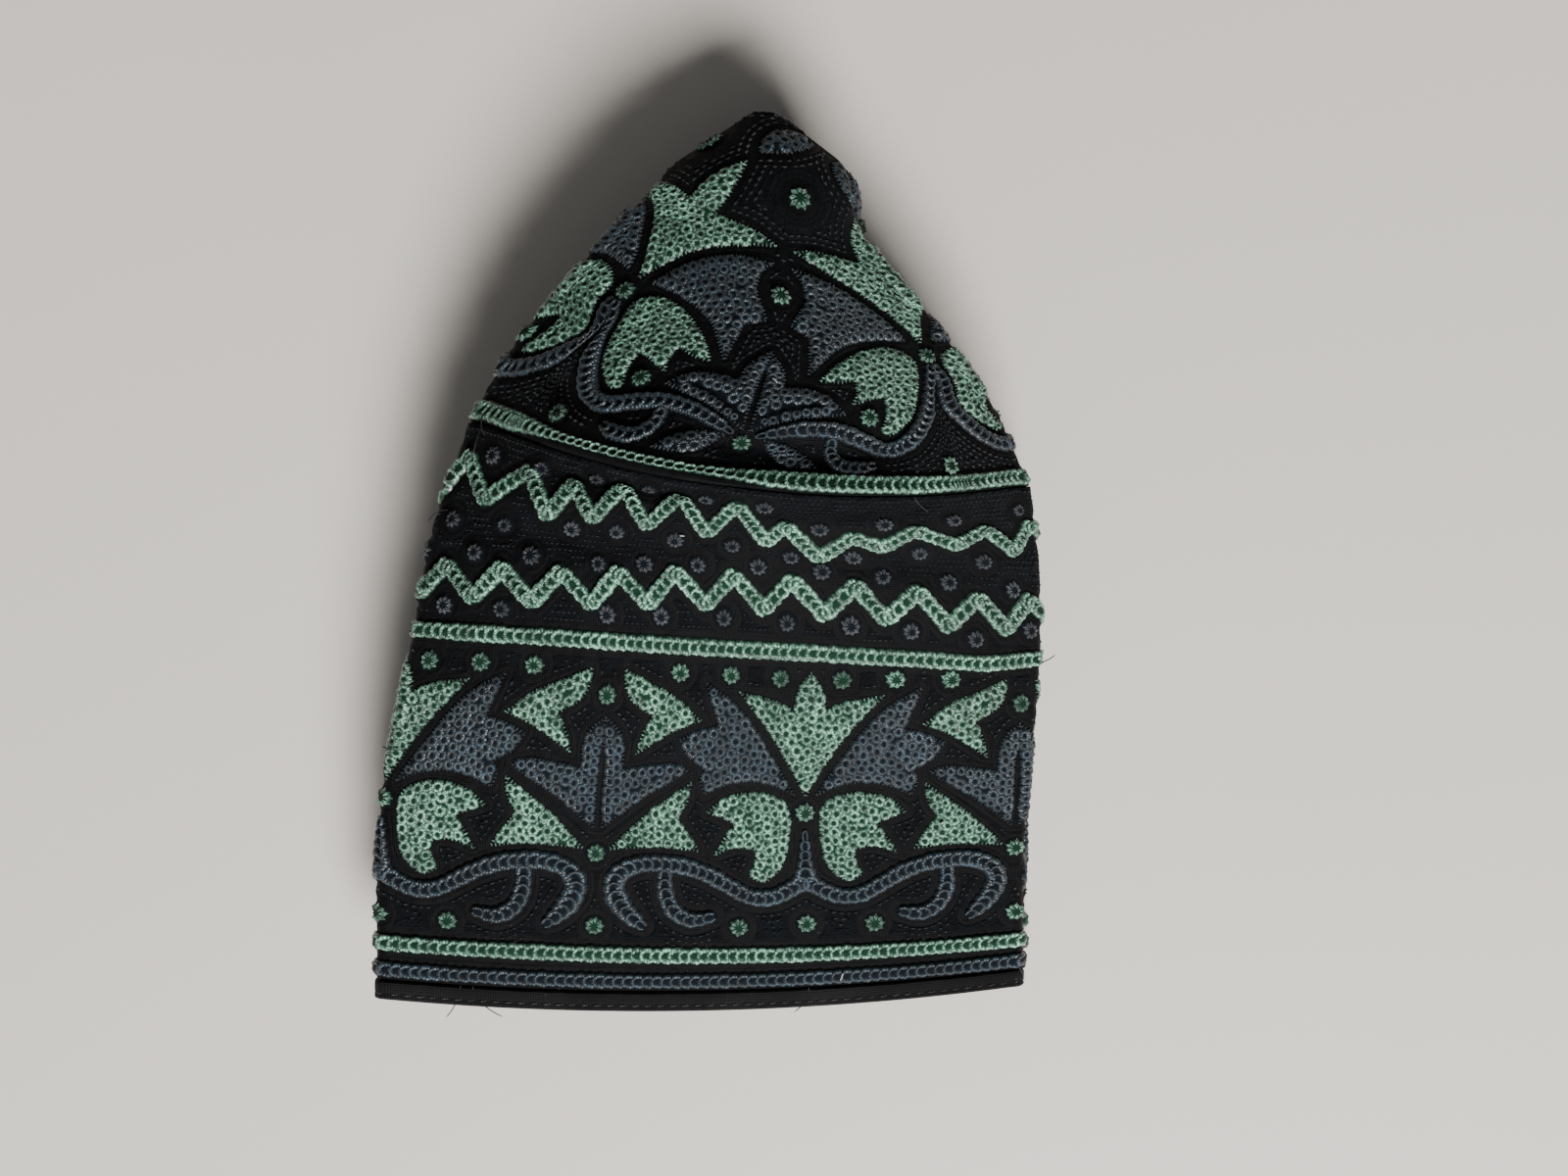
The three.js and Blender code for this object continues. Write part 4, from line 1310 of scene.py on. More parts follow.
def link_stitch():
    """One link of a chain line: a horseshoe, open the way the line runs."""
    arm = [(0.56, 0.21), (0.2, 0.335), (-0.14, 0.315), (-0.35, 0.175)]
    path = np.array(arm + [(-0.41, 0.0)] + [(x, -y) for x, y in arm[::-1]])
    side = left_of(unit(np.gradient(path, axis=0)))
    rows = []
    for offset, z in ((-0.16, 0.0), (-0.05, 1.0), (0.06, 0.9), (0.16, 0.0)):
        edge = path + side * offset
        rows.append([(x, y, z * (0.65 if i % 2 == 0 else 1.0)) for i, (x, y) in enumerate(edge)])
    return profile_mesh("link_stitch", rows)


def grain_stitch():
    """A single short stitch, pointed at both ends."""
    verts = [(-0.5, 0, 0.1), (0.5, 0, 0.1), (0, -0.5, 0), (0, 0.5, 0), (0, 0, 1), (0, 0, -0.3)]
    faces = [(0, 2, 4), (2, 1, 4), (1, 3, 4), (3, 0, 4), (2, 0, 5), (1, 2, 5), (3, 1, 5), (0, 3, 5)]
    thread_uv = [(0.0, 0.5), (1.0, 0.5), (0.5, 0.1), (0.5, 0.9), (0.5, 0.5), (0.5, 0.5)]
    return plain_stitch("grain_stitch", verts, faces, [thread_uv[v] for face in faces for v in face])


STITCHES = {"loop": ring_stitch, "eye": eye_stitch, "link": link_stitch, "grain": grain_stitch}
# Length, width and height of each kind of stitch, in mm
CHAIN_LINK = (3.1, 4.1, 0.62)
GREEN_EYELET = (4.8, 4.8, 0.6)
SLATE_EYELET = (4.3, 4.3, 0.55)
EDGE_STITCH = (1.2, 0.46, 0.36)
GROUND_STITCH = (1.3, 0.62, 0.36)
HEM_STITCH = (2.1, 0.6, 0.5)
# A net's loops overlap their neighbours by a little, and no two are alike in size, place in mm or turn
LOOP_SPREAD, LOOP_HEIGHT = 1.17, 0.42
LOOP_SIZES, LOOP_SHIFT, LOOP_TURN = (0.94, 1.06), 0.07, 0.5
# The least heights of a stitch and of the cloth over the floor, in mm
STITCH_FLOOR = 0.03 - FRAME_SHIFT[2]
CLOTH_FLOOR = 0.30 - FRAME_SHIFT[2]


def rightward(points):
    """A direction along the chart's x axis for each point."""
    return np.tile([1.0, 0.0], (len(points), 1))


def finished(obj, body="root"):
    """Puts the piece in the scene and lets it ride on its body."""
    if obj.name not in bpy.context.scene.collection.objects:
        bpy.context.scene.collection.objects.link(obj)
    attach(obj, body)
    return obj


class Spots:
    """Places for stitches: position in mm on the table, the cloth's facing, a heading and a size."""

    def __init__(self):
        self.rows, self.groups = [], []

    def lay(self, position, facing, heading, size, group=None):
        """Spots given in space. Only those that come with a group are bent to the cloth later."""
        size = np.broadcast_to(np.asarray(size, float), position.shape)
        self.rows.append((position, facing, heading, size))
        self.groups.append(group)
        return self

    def add(self, onto, points, ahead, size):
        """Spots given on a chart: onto is on_band or on_crown."""
        return self.lay(*onto(points, ahead), size, (onto, points, ahead))

    def arrays(self):
        return [np.vstack(columns) for columns in zip(*self.rows)]

    def bend(self, verts):
        """Bends the stitches' points to the cloth, so none stands off where it folds."""
        start = 0
        for (position, facing, heading, _), group in zip(self.rows, self.groups):
            end = start + len(position)
            if group:
                onto, points, ahead = group
                off = verts[start:end] - position[:, None]
                side = np.cross(facing, heading) * (1 if onto is on_band else -1)
                along_it, across_it, height = [np.sum(off * axis[:, None], -1)[..., None]
                                               for axis in (heading, side, facing)]
                spread = points[:, None] + along_it * ahead[:, None] + across_it * left_of(ahead)[:, None]
                flat = spread.reshape(-1, 2)
                at, out, _ = onto(flat, rightward(flat))
                verts[start:end] = at.reshape(off.shape) + out.reshape(off.shape) * height
            start = end
        return verts


def on_band(points, ahead):
    """Position, facing and heading on the side wall, for points and directions on its chart."""
    position, facing, around, up = prepare()["band"].place(*band_to_cloth(*points.T))
    return position, facing, unit(ahead[:, :1] * around + ahead[:, 1:2] * up)


def on_crown(points, ahead):
    """Position, facing and heading on the crown, for points and directions on its chart."""
    position, facing, around, out = prepare()["crown"].place(*crown_to_cloth(*points.T))
    angle = np.arctan2(points[:, 0], points[:, 1])
    sine, cosine = np.sin(angle), np.cos(angle)
    across = ahead[:, 0] * cosine - ahead[:, 1] * sine
    outward = ahead[:, 0] * sine + ahead[:, 1] * cosine
    return position, facing, unit(across[:, None] * around + outward[:, None] * out)


def stitched(name, spots, kind, size_mm, thread, unevenness=0.2):
    """A plain mesh of stitches, made by the stitch tree on these spots."""
    position, facing, heading, size = spots.arrays()
    points = bpy.data.meshes.new(name + "_spots")
    points.from_pydata(((position + FRAME_SHIFT) * MM).tolist(), [], [])
    for label, values in (("facing", facing), ("heading", heading), ("size", size)):
        layer = points.attributes.new(label, "FLOAT_VECTOR", "POINT")
        layer.data.foreach_set("vector", np.ascontiguousarray(values, dtype=np.float32).ravel())
    obj = bpy.data.objects.new(name, points)
    bpy.context.scene.collection.objects.link(obj)
    stitch = STITCHES[kind]()
    modifier = obj.modifiers.new("stitches", "NODES")
    modifier.node_group = stitch_tree()
    length, width, height = (value * MM for value in size_mm)
    for label, value in (("Stitch", stitch), ("Thread", thread), ("Length", length), ("Width", width),
                         ("Height", height), ("Unevenness", unevenness),
                         ("Seed", bpy.context.scene.kumma_thread.seed)):
        set_input(modifier, label, value)
    bpy.context.view_layer.update()
    graph = bpy.context.evaluated_depsgraph_get()
    mesh = bpy.data.meshes.new_from_object(obj.evaluated_get(graph), depsgraph=graph)
    if not mesh.polygons:
        raise RuntimeError(f"{name}: no stitches were made")
    obj.modifiers.clear()
    obj.data = mesh
    mesh.name = name
    bpy.data.meshes.remove(points)
    bpy.data.objects.remove(stitch)
    verts = np.empty(len(mesh.vertices) * 3, np.float32)
    mesh.vertices.foreach_get("co", verts)
    verts = spots.bend(verts.reshape(len(position), -1, 3) / MM - FRAME_SHIFT)
    verts[..., 2] = np.maximum(verts[..., 2], STITCH_FLOOR)
    mesh.vertices.foreach_set("co", ((verts + FRAME_SHIFT) * MM).astype(np.float32).ravel())
    for label in ("facing", "heading", "size"):
        if label in mesh.attributes:
            mesh.attributes.remove(mesh.attributes[label])
    mesh.materials.clear()
    mesh.materials.append(thread)
    mesh.update()
    mesh.shade_smooth()
    return finished(obj)


# Where stitches go on the chart, in mm
FIRST_ROW, DEEPEST_ROW, ROW_STEP, ROW_TOLERANCE = 1.15, 14, 0.35, 0.16
ROW_SHARE, FILL_SHARE = 0.93, 0.80
FILL_REACH, FILL_MARGIN, FILL_STEP = 0.7, 0.62, 0.4
EDGE_INSET, EDGE_TOLERANCE = 0.12, 0.28
# Rows of ground stitches: how far from the embroidery, and how far up each chart they reach
GROUND_OFFSETS = (2.3, 3.7, 5.1, 6.5, 7.9, 9.3, 10.7)
GROUND_REACH = {"band": (14.5, 79), "crown": (4, 87.5)}
GROUND_PITCH, GROUND_GAP, GROUND_STEP, GROUND_TOLERANCE = 1.4, 0.75, 0.4, 0.15
# Between the upper stripe and the seam the rows run level: where they start and end, and their pitch
LEVEL_ROWS, LEVEL_PITCH, LEVEL_MARGIN = (85.5, 125, 1.45), 1.2, 1.9


def inside_row(chart, colour, outline, depth):
    """Points on a row depth mm inside an outline, kept only where nothing else is nearer."""
    points, ahead = spaced(outline, ROW_STEP, closed=True)
    row = points + left_of(ahead) * depth
    kept = np.abs(chart.to(colour, row) + depth) < ROW_TOLERANCE
    return row[kept], ahead[kept]


def net_of(chart, colour, outline, pitch):
    """Centres of the loops that fill a leaf: rows that follow its edge, then whatever gap is left."""
    placed, ways = np.zeros((0, 2)), np.zeros((0, 2))

    def place(point, way, apart_by):
        nonlocal placed, ways
        if not len(placed) or np.min(np.sum((placed - point) ** 2, 1)) > apart_by**2:
            placed, ways = np.vstack([placed, point]), np.vstack([ways, way])

    for depth in np.arange(FIRST_ROW, DEEPEST_ROW, pitch * ROW_SHARE):
        for point, way in zip(*inside_row(chart, colour, outline, depth)):
            place(point, way, pitch * ROW_SHARE)
    low, high = outline.min(0), outline.max(0)
    grid = np.meshgrid(*(np.arange(low[k], high[k], FILL_STEP) for k in (0, 1)))
    grid = np.stack([axis.ravel() for axis in grid], -1)
    grid = grid[distance_to_outline(*grid.T, outline) < -FILL_REACH]
    deep = chart.to(colour, grid)
    for i in np.argsort(deep):
        if deep[i] <= -FILL_MARGIN:
            place(grid[i], (1.0, 0.0), pitch * FILL_SHARE)
    return placed, ways, np.clip(-chart.to(colour, placed) / FIRST_ROW, 0.6, 1.0)


def edge_of(chart, outline, pitch):
    """Stitches set square to a leaf's edge, where no other embroidery joins it."""
    points, ahead = spaced(outline, pitch, closed=True)
    kept = np.abs(chart.nearest(points)) < EDGE_TOLERANCE
    square = left_of(ahead[kept])
    return points[kept] + square * EDGE_INSET, square


def line_edges(chart, line, pitch):
    """The same, on both sides of a line of chain stitch."""
    points, ahead = spaced(line, pitch)
    found, ways = [], []
    for side in (1, -1):
        outward = side * left_of(ahead)
        edge = points[:, :2] + outward * points[:, 2:3] / 2
        kept = np.abs(chart.nearest(edge)) < EDGE_TOLERANCE
        found.append(edge[kept] - outward[kept] * EDGE_INSET)
        ways.append(-outward[kept])
    return np.vstack(found), np.vstack(ways)


def thinned(points, gap):
    """Indices of points that are more than gap mm from every kept one before them."""
    keep, cells = [], {}
    for i, point in enumerate(points):
        column, row = int(point[0] // 1), int(point[1] // 1)
        around = [j for dx in (-1, 0, 1) for dy in (-1, 0, 1) for j in cells.get((column + dx, row + dy), [])]
        if all(np.hypot(*(points[j] - point)) > gap for j in around):
            keep.append(i)
            cells.setdefault((column, row), []).append(i)
    return keep


def ground_rows(chart):
    """Tiny stitches that echo the outlines out on the open ground."""
    shapes = [(outline, True) for _, outline, _ in chart.leaves]
    shapes += [(line, False) for _, line, _ in chart.lines]
    found, ways = [], []
    for outline, closed in shapes:
        points, ahead = spaced(outline, GROUND_STEP, closed=closed)
        half = 0 if closed else points[:, 2:3] / 2
        for offset in GROUND_OFFSETS:
            for side in ((-1,) if closed else (1, -1)):
                row = points[:, :2] + side * left_of(ahead) * (offset + half)
                kept = np.abs(chart.nearest(row) - offset) < GROUND_TOLERANCE
                last = None
                for point, way in zip(row[kept], ahead[kept]):
                    if last is None or np.hypot(*(point - last)) > GROUND_PITCH:
                        found.append(point)
                        ways.append(way)
                        last = point
    keep = thinned(found, GROUND_GAP)
    return np.array(found)[keep], np.array(ways)[keep]


# Cloth meshes

def ring_mesh(name, rings, flat, columns, near=None, ends=(None, None)):
    """A closed shell from rings of points: joined end to end, or closed by a point at each end."""
    count = len(rings)
    verts = np.vstack(rings)
    poles = [p for p in ends if p is not None]
    j = np.arange(columns)
    k = (j + 1) % columns
    pairs = [(i, i + 1) for i in range(count - 1)] + ([] if poles else [(count - 1, 0)])
    quads = np.vstack([np.stack([a * columns + j, a * columns + k, b * columns + k, b * columns + j], -1)
                       for a, b in pairs])
    corner_u = np.vstack([np.stack([j, j + 1, j + 1, j], -1) for _ in pairs]) / columns
    corner_v = np.vstack([np.stack([flat[a]] * 2 + [flat[b]] * 2)[None].repeat(columns, 0) for a, b in pairs])
    faces = quads.tolist()
    uvs = np.stack([corner_u.ravel() * HEAD_GIRTH * MM, corner_v.ravel() * MM], -1)
    if poles:
        verts = np.vstack([verts] + [p[None] for p in poles])
        first, last = len(verts) - 2, len(verts) - 1
        faces += [(first, b, a) for a, b in zip(j.tolist(), k.tolist())]
        top = (count - 1) * columns
        faces += [(top + a, top + b, last) for a, b in zip(j.tolist(), k.tolist())]
        cap = np.zeros((2 * columns * 3, 2))
        cap[:, 0] = np.repeat(np.tile(j, 2), 3) / columns * HEAD_GIRTH * MM
        uvs = np.vstack([uvs, cap])
    mesh = bpy.data.meshes.new(name)
    verts[:, 2] = np.maximum(verts[:, 2], CLOTH_FLOOR)
    mesh.from_pydata(((verts + FRAME_SHIFT) * MM).tolist(), [], faces)
    mesh.uv_layers.new(name="flat_cloth").data.foreach_set("uv", uvs.ravel())
    for label, values in (near or {}).items():
        layer = mesh.attributes.new(label, "FLOAT", "POINT")
        layer.data.foreach_set("value", np.append(values, [FAR] * len(poles)).astype(np.float32))
    mesh.update()
    mesh.shade_smooth()
    return bpy.data.objects.new(name, mesh)


def inner_rows(part, step):
    """Rows of the inner face, fewer than the outer ones, with the same columns."""
    rows = sorted(set(list(range(0, len(part.levels), step)) + [len(part.levels) - 1]))
    return rows, part.middle[rows] - part.normal[rows] * part.half


def near_attributes(part, rows, inner_first=False):
    """The distances that the cloth's material reads. The inner face has no stitching near it."""
    plain = np.full((len(rows), part.columns), FAR)
    both = {colour: [part.near[colour], plain] for colour in COLOURS}
    return {f"{colour}_mm": np.vstack(faces[::-1] if inner_first else faces).ravel()
            for colour, faces in both.items()}


def dressed(obj, material, node):
    """Gives the cloth its material, and puts it in the place of its CAD node."""
    obj.data.materials.append(material)
    finished(obj)
    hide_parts(node)


class KUMMA_OT_band_cloth(bpy.types.Operator):
    """Side wall: a folded tube of quilted cloth, raised under the embroidery"""
    bl_idname = "kumma.band_cloth"
    bl_label = "Side wall"

    def execute(self, context):
        part = prepare()["band"]
        rows, inner = inner_rows(part, 9)
        rings = list(part.outer) + list(inner[::-1])
        flat = list(part.levels) + list(part.levels[rows][::-1])
        obj = ring_mesh("band_cloth", rings, flat, part.columns, near_attributes(part, rows))
        dressed(obj, quilt_material(), "band")
        return {"FINISHED"}


# The middle point of each face of the crown is moved outward by this, in mm, to round off the tip
TIP_ROUNDING = 0.25


class KUMMA_OT_crown_cloth(bpy.types.Operator):
    """Crown: the folded round top, closed at its middle"""
    bl_idname = "kumma.crown_cloth"
    bl_label = "Crown"

    def execute(self, context):
        part = prepare()["crown"]
        rows, inner = inner_rows(part, 6)
        rings = list(inner[::-1]) + list(part.outer)
        flat = list(part.levels[rows][::-1]) + list(part.levels)
        tip, outward = part.middle[-1].mean(0), unit(part.normal[-1].mean(0))
        ends = [tip + outward * (side * part.half + TIP_ROUNDING) for side in (-1, 1)]
        near = near_attributes(part, rows, inner_first=True)
        dressed(ring_mesh("crown_cloth", rings, flat, part.columns, near, ends), quilt_material(), "crown")
        return {"FINISHED"}


# The hem's profile: height above the rim in mm, and its fullness there as a share of half its thickness
HEM_PROFILE = [(0.0, 0.45), (0.12, 0.78), (0.45, 0.97), (0.9, 1.0), (1.25, 0.93), (1.5, 0.78), (1.75, 0.93),
               (2.2, 1.0), (2.9, 1.0), (3.6, 1.0), (4.1, 0.95), (4.42, 0.74), (4.55, 0.45)]
# Its top stitching: how many stitches, and its height above the rim between two levels beside it
HEM_STITCH_COUNT = 205
HEM_STITCH_LEVELS = np.array([1.3, 1.5, 1.7])
# Waves in the hem's outer face: their height in mm, their count round the rim and where they start
HEM_WAVES = ((0.05, 95, 0), (0.04, 41, 1))


class KUMMA_OT_hem(bpy.types.Operator):
    """Hem: the folded black edge round the open rim"""
    bl_idname = "kumma.hem"
    bl_label = "Hem"

    def execute(self, context):
        half = context.scene.kumma_cloth.hem_thickness / MM / 2
        shares = np.arange(BAND_COLUMNS) / BAND_COLUMNS
        levels, fullness = np.array(HEM_PROFILE).T
        middle = band_rings(levels, shares)
        normal = sheet_normals(middle, levels)
        wave = sum(high * np.sin(shares * math.tau * count + start) for high, count, start in HEM_WAVES)
        lift = fullness[:, None] * half
        outer = middle + normal * (lift + wave[None, :] * (lift > 0.9 * half))[..., None]
        inner = middle - normal * lift[..., None]
        rings = list(outer) + list(inner[::-1])
        flat = list(levels) + list(levels[::-1] + 5)
        dressed(ring_mesh("hem_cloth", rings, flat, BAND_COLUMNS), hem_material(), "hem")
        return {"FINISHED"}


def rotated(ways, turn):
    """Directions, each turned anticlockwise by its own angle."""
    return ways * np.cos(turn)[:, None] + left_of(ways) * np.sin(turn)[:, None]


class KUMMA_OT_leaf_nets(bpy.types.Operator):
    """Leaf fills: a net of small loops in each leaf, petal and wing"""
    bl_idname = "kumma.leaf_nets"
    bl_label = "Leaf nets"

    def execute(self, context):
        thread = context.scene.kumma_thread
        pitch = thread.loop_pitch / MM
        loop = (pitch * LOOP_SPREAD, pitch * LOOP_SPREAD, LOOP_HEIGHT)
        random = np.random.default_rng(thread.seed)
        for place, chart, onto in charts():
            for colour in COLOURS:
                spots = Spots()
                for leaf_colour, outline, both_sides in chart.leaves:
                    if leaf_colour != colour:
                        continue
                    points, ahead, size = net_of(chart, colour, outline, pitch)
                    spots_at, ways = chart.copies(points, ahead, both_sides)
                    sizes = np.tile(size, len(spots_at) // len(size))
                    sizes = sizes * random.uniform(*LOOP_SIZES, len(sizes))
                    spots_at = spots_at + random.normal(0, LOOP_SHIFT, spots_at.shape)
                    ways = rotated(ways, random.uniform(-LOOP_TURN, LOOP_TURN, len(ways)))
                    spots.add(onto, spots_at, ways, np.stack([sizes, sizes, np.sqrt(sizes)], -1))
                stitched(f"{place}_{colour}_net", spots, "loop", loop, THREADS[colour]())
        return {"FINISHED"}


# Width in mm of the chain line that has plain links
PLAIN_CHAIN = 3.6


def chain_spots(spots, onto, points, ahead, widths):
    """Links of a chain line, wider and a little longer where the line is wide."""
    share = widths / PLAIN_CHAIN
    size = np.stack([np.clip(share, 0.55, 1.15) ** 0.5, share, np.ones(len(widths))], -1)
    spots.add(onto, points, ahead, size)


class KUMMA_OT_chain_lines(bpy.types.Operator):
    """Chain lines: stripes, zigzags, stems and vines"""
    bl_idname = "kumma.chain_lines"
    bl_label = "Chain lines"

    def execute(self, context):
        pitch = context.scene.kumma_thread.chain_pitch / MM
        found = {(place, colour): Spots() for place in ("band", "crown") for colour in COLOURS}
        for place, chart, onto in charts():
            for colour, line, both_sides in chart.lines:
                points, ahead = spaced(line, pitch)
                spots_at, ways = chart.copies(points[:, :2], ahead, both_sides)
                widths = np.tile(points[:, 2], len(spots_at) // len(points))
                chain_spots(found[place, colour], onto, spots_at, ways, widths)
        for name, (colour, width, _) in ROUND_LINES.items():
            points, ahead = spaced(round_line(name), pitch)
            chain_spots(found["band", colour], on_band, points, ahead, np.full(len(points), width))
        green = found["band", "green"]
        for path in (low_zigzag(), high_zigzag()):
            for start, end in zip(path, path[1:]):
                if -HALF_GIRTH <= (start[0] + end[0]) / 2 < HALF_GIRTH:
                    points, ahead = spaced(np.array([start, end]), pitch)
                    chain_spots(green, on_band, points, ahead, np.full(len(points), ZIGZAG_WIDTH))
        turn = np.radians(np.arange(-180, 180, math.degrees(pitch / EDGE_STRIPE)))
        points = np.stack(at_angle(EDGE_STRIPE, turn), -1)
        ahead = np.stack([np.cos(turn), -np.sin(turn)], -1)
        chain_spots(found["crown", "green"], on_crown, points, ahead, edge_stripe_width(np.degrees(turn)))
        for (place, colour), spots in found.items():
            stitched(f"{place}_{colour}_chain", spots, "link", CHAIN_LINK, THREADS[colour](), 0.14)
        return {"FINISHED"}


class KUMMA_OT_eyelets(bpy.types.Operator):
    """Eyelets: short stitches round small holes"""
    bl_idname = "kumma.eyelets"
    bl_label = "Eyelets"

    def execute(self, context):
        green, slate = Spots(), Spots()
        for _, chart, onto in charts():
            for point, both_sides in chart.eyes:
                points, ahead = chart.copies(np.array([point], float), np.array([[1.0, 0.0]]), both_sides)
                green.add(onto, points, ahead, 1.0)
        edge, eyes = crown_edge_eyes(), blue_eyes()
        green.lay(*on_crown(edge, rightward(edge)), 1.0)
        slate.add(on_band, eyes, rightward(eyes), 1.0)
        stitched("green_eyelets", green, "eye", GREEN_EYELET, green_thread(), 0.1)
        stitched("blue_eyelets", slate, "eye", SLATE_EYELET, slate_thread(), 0.2)
        return {"FINISHED"}


class KUMMA_OT_leaf_edges(bpy.types.Operator):
    """Leaf edges: close short stitches set square to every outline"""
    bl_idname = "kumma.leaf_edges"
    bl_label = "Leaf edges"

    def execute(self, context):
        pitch = context.scene.kumma_thread.edge_pitch / MM
        found = {colour: Spots() for colour in COLOURS}
        for _, chart, onto in charts():
            for colour, outline, both_sides in chart.leaves:
                points, ways = edge_of(chart, outline, pitch)
                found[colour].add(onto, *chart.copies(points, ways, both_sides), 1.0)
            for colour, line, both_sides in chart.lines:
                points, ways = line_edges(chart, line, pitch * 1.25)
                found[colour].add(onto, *chart.copies(points, ways, both_sides), 0.85)
        for colour, spots in found.items():
            stitched(f"{colour}_leaf_edges", spots, "grain", EDGE_STITCH, THREADS[colour](), 0.5)
        return {"FINISHED"}


class KUMMA_OT_ground_stitches(bpy.types.Operator):
    """Ground: rows of tiny black stitches that echo the outlines"""
    bl_idname = "kumma.ground_stitches"
    bl_label = "Ground stitches"

    def execute(self, context):
        for place, chart, onto in charts():
            found, ways = ground_rows(chart)
            height = found[:, 1] if place == "band" else np.hypot(found[:, 0], found[:, 1])
            low, high = GROUND_REACH[place]
            moved = np.abs(np.stack(chart.folded(*found.T), -1) - found)
            kept = (moved < 0.2).all(1) & (height > low) & (height < high)
            spots = Spots().add(onto, *chart.copies(found[kept], ways[kept], True), 1.0)
            if place == "band":
                self.rows_round_zigzags(spots)
            stitched(f"{place}_ground_stitches", spots, "grain", GROUND_STITCH, black_thread(), 0.4)
        return {"FINISHED"}

    def rows_round_zigzags(self, spots):
        """Rows that run round the side, between the upper stripe and the seam."""
        part = prepare()["band"]
        s, v = np.meshgrid(np.arange(-HALF_GIRTH, HALF_GIRTH, LEVEL_PITCH), np.arange(*LEVEL_ROWS))
        s = s + LEVEL_PITCH / 2 * (np.arange(len(v)) % 2)[:, None]
        points = np.stack([s.ravel(), v.ravel()], -1)
        level, share = band_to_cloth(*points.T)
        rows = np.round((level - part.levels[0]) / (part.levels[1] - part.levels[0]))
        rows = np.clip(rows, 0, len(part.levels) - 1).astype(int)
        columns = np.round(share * part.columns).astype(int) % part.columns
        points = points[part.nearest()[rows, columns] > LEVEL_MARGIN]
        spots.add(on_band, points, rightward(points), 0.75)


class KUMMA_OT_hem_stitches(bpy.types.Operator):
    """Hem stitches: one line of top stitching round the rim"""
    bl_idname = "kumma.hem_stitches"
    bl_label = "Hem stitches"

    def execute(self, context):
        shares = (np.arange(HEM_STITCH_COUNT) + 0.5) / HEM_STITCH_COUNT
        half = context.scene.kumma_cloth.hem_thickness / MM / 2
        middle = band_rings(HEM_STITCH_LEVELS, shares)
        facing = sheet_normals(middle, HEM_STITCH_LEVELS)[1]
        heading = unit(np.roll(middle[1], -1, 0) - np.roll(middle[1], 1, 0))
        spots = Spots().lay(middle[1] + facing * half * 0.84, facing, heading, 1.0)
        stitched("hem_stitches", spots, "grain", HEM_STITCH, hem_thread(), 0.2)
        return {"FINISHED"}


def tube(path, radius, sides=6):
    """Points and faces of a thin closed tube along a path."""
    path = np.asarray(path, float)
    ahead = unit(np.gradient(path, axis=0))
    side = unit(np.cross(ahead, np.array([0.3, 0.2, 0.93])))
    up = np.cross(ahead, side)
    turn = np.linspace(0, math.tau, sides, endpoint=False)[None, :, None]
    place = np.arange(len(path))
    fade = np.clip(np.minimum(place + 1, len(path) - place) / 2, 0.35, 1)[:, None, None]
    rings = path[:, None] + radius * fade * (np.cos(turn) * side[:, None] + np.sin(turn) * up[:, None])
    faces = [(i * sides + j, i * sides + k, (i + 1) * sides + k, (i + 1) * sides + j)
             for i in range(len(path) - 1) for j, k in zip(range(sides), [*range(1, sides), 0])]
    faces.append(tuple(range(sides))[::-1])
    faces.append(tuple((len(path) - 1) * sides + j for j in range(sides)))
    return rings.reshape(-1, 3), faces


# Loose ends and lint, by where they leave the cloth: chart, place on it, heading in degrees, length in mm
LOOSE_ENDS = [
    ("band", -77, 5.3, 262, 10), ("band", -74.5, 5.3, 281, 10), ("band", 0, 5.3, 268, 8),
    ("band", 47.5, 6, 315, 5), ("band", 51, 81, 30, 5), ("band", -91, 58, 190, 5),
    ("band", -84.5, 120, 100, 6), ("band", -83, 124, 140, 5), ("band", -87.5, 108, 185, 6),
    ("crown", 40, 84, 40, 5),
]
LINT = [("crown", 2, 66.5, 20, 1.3), ("band", 7, 6.5, 75, 2.0), ("band", -30, 108, 10, 0.9),
        ("band", 30, 44, 50, 0.8)]


class KUMMA_OT_loose_threads(bpy.types.Operator):
    """Loose threads: short black ends at the seams, and a few bits of pale lint"""
    bl_idname = "kumma.loose_threads"
    bl_label = "Loose threads"

    def execute(self, context):
        random = np.random.default_rng(context.scene.kumma_thread.seed + 5)
        for name, rows, radius, arch, material in (
                ("loose_threads", LOOSE_ENDS, 0.13, 2.4, black_thread()),
                ("lint", LINT, 0.16, 0.5, lint_fibre())):
            verts, faces = [], []
            for place, x, y, turn, length in rows:
                onto = on_band if place == "band" else on_crown
                heading = np.array([[math.cos(math.radians(turn)), math.sin(math.radians(turn))]])
                position, facing, ahead = (row[0] for row in onto(np.array([[x, y]], float), heading))
                t = np.linspace(0, 1, 12)[:, None]
                bend = np.cross(facing, ahead) * random.uniform(-0.5, 0.5)
                lift = facing * (0.35 + arch * t * (1 - t))
                path = position + ahead * length * t + bend * length * t**2 + lift
                path[:, 2] = np.maximum(path[:, 2], 0.2)
                points, quads = tube(path, radius)
                faces += [tuple(len(verts) * len(points) + i for i in face) for face in quads]
                verts.append(points)
            mesh = bpy.data.meshes.new(name)
            mesh.from_pydata(((np.vstack(verts) + FRAME_SHIFT) * MM).tolist(), [], faces)
            mesh.materials.append(material)
            mesh.update()
            mesh.shade_smooth()
            finished(bpy.data.objects.new(name, mesh))
        return {"FINISHED"}


# The stage, in m: each light's place, its width and its share of the window's power
LIGHTS = {"window": ((0.42, -1.25, 1.37), 0.74, 1.0), "far_wall": ((-0.2, -0.5, 1.1), 1.2, 0.02)}
LIGHT_AIM = (0.0, 0.02, 0.02)
FLOOR_REACH = 3.0
ROOM_LIGHT, ROOM_WALL = (0.93, 0.96, 1.0, 1.0), (0.80, 0.78, 0.75, 1.0)
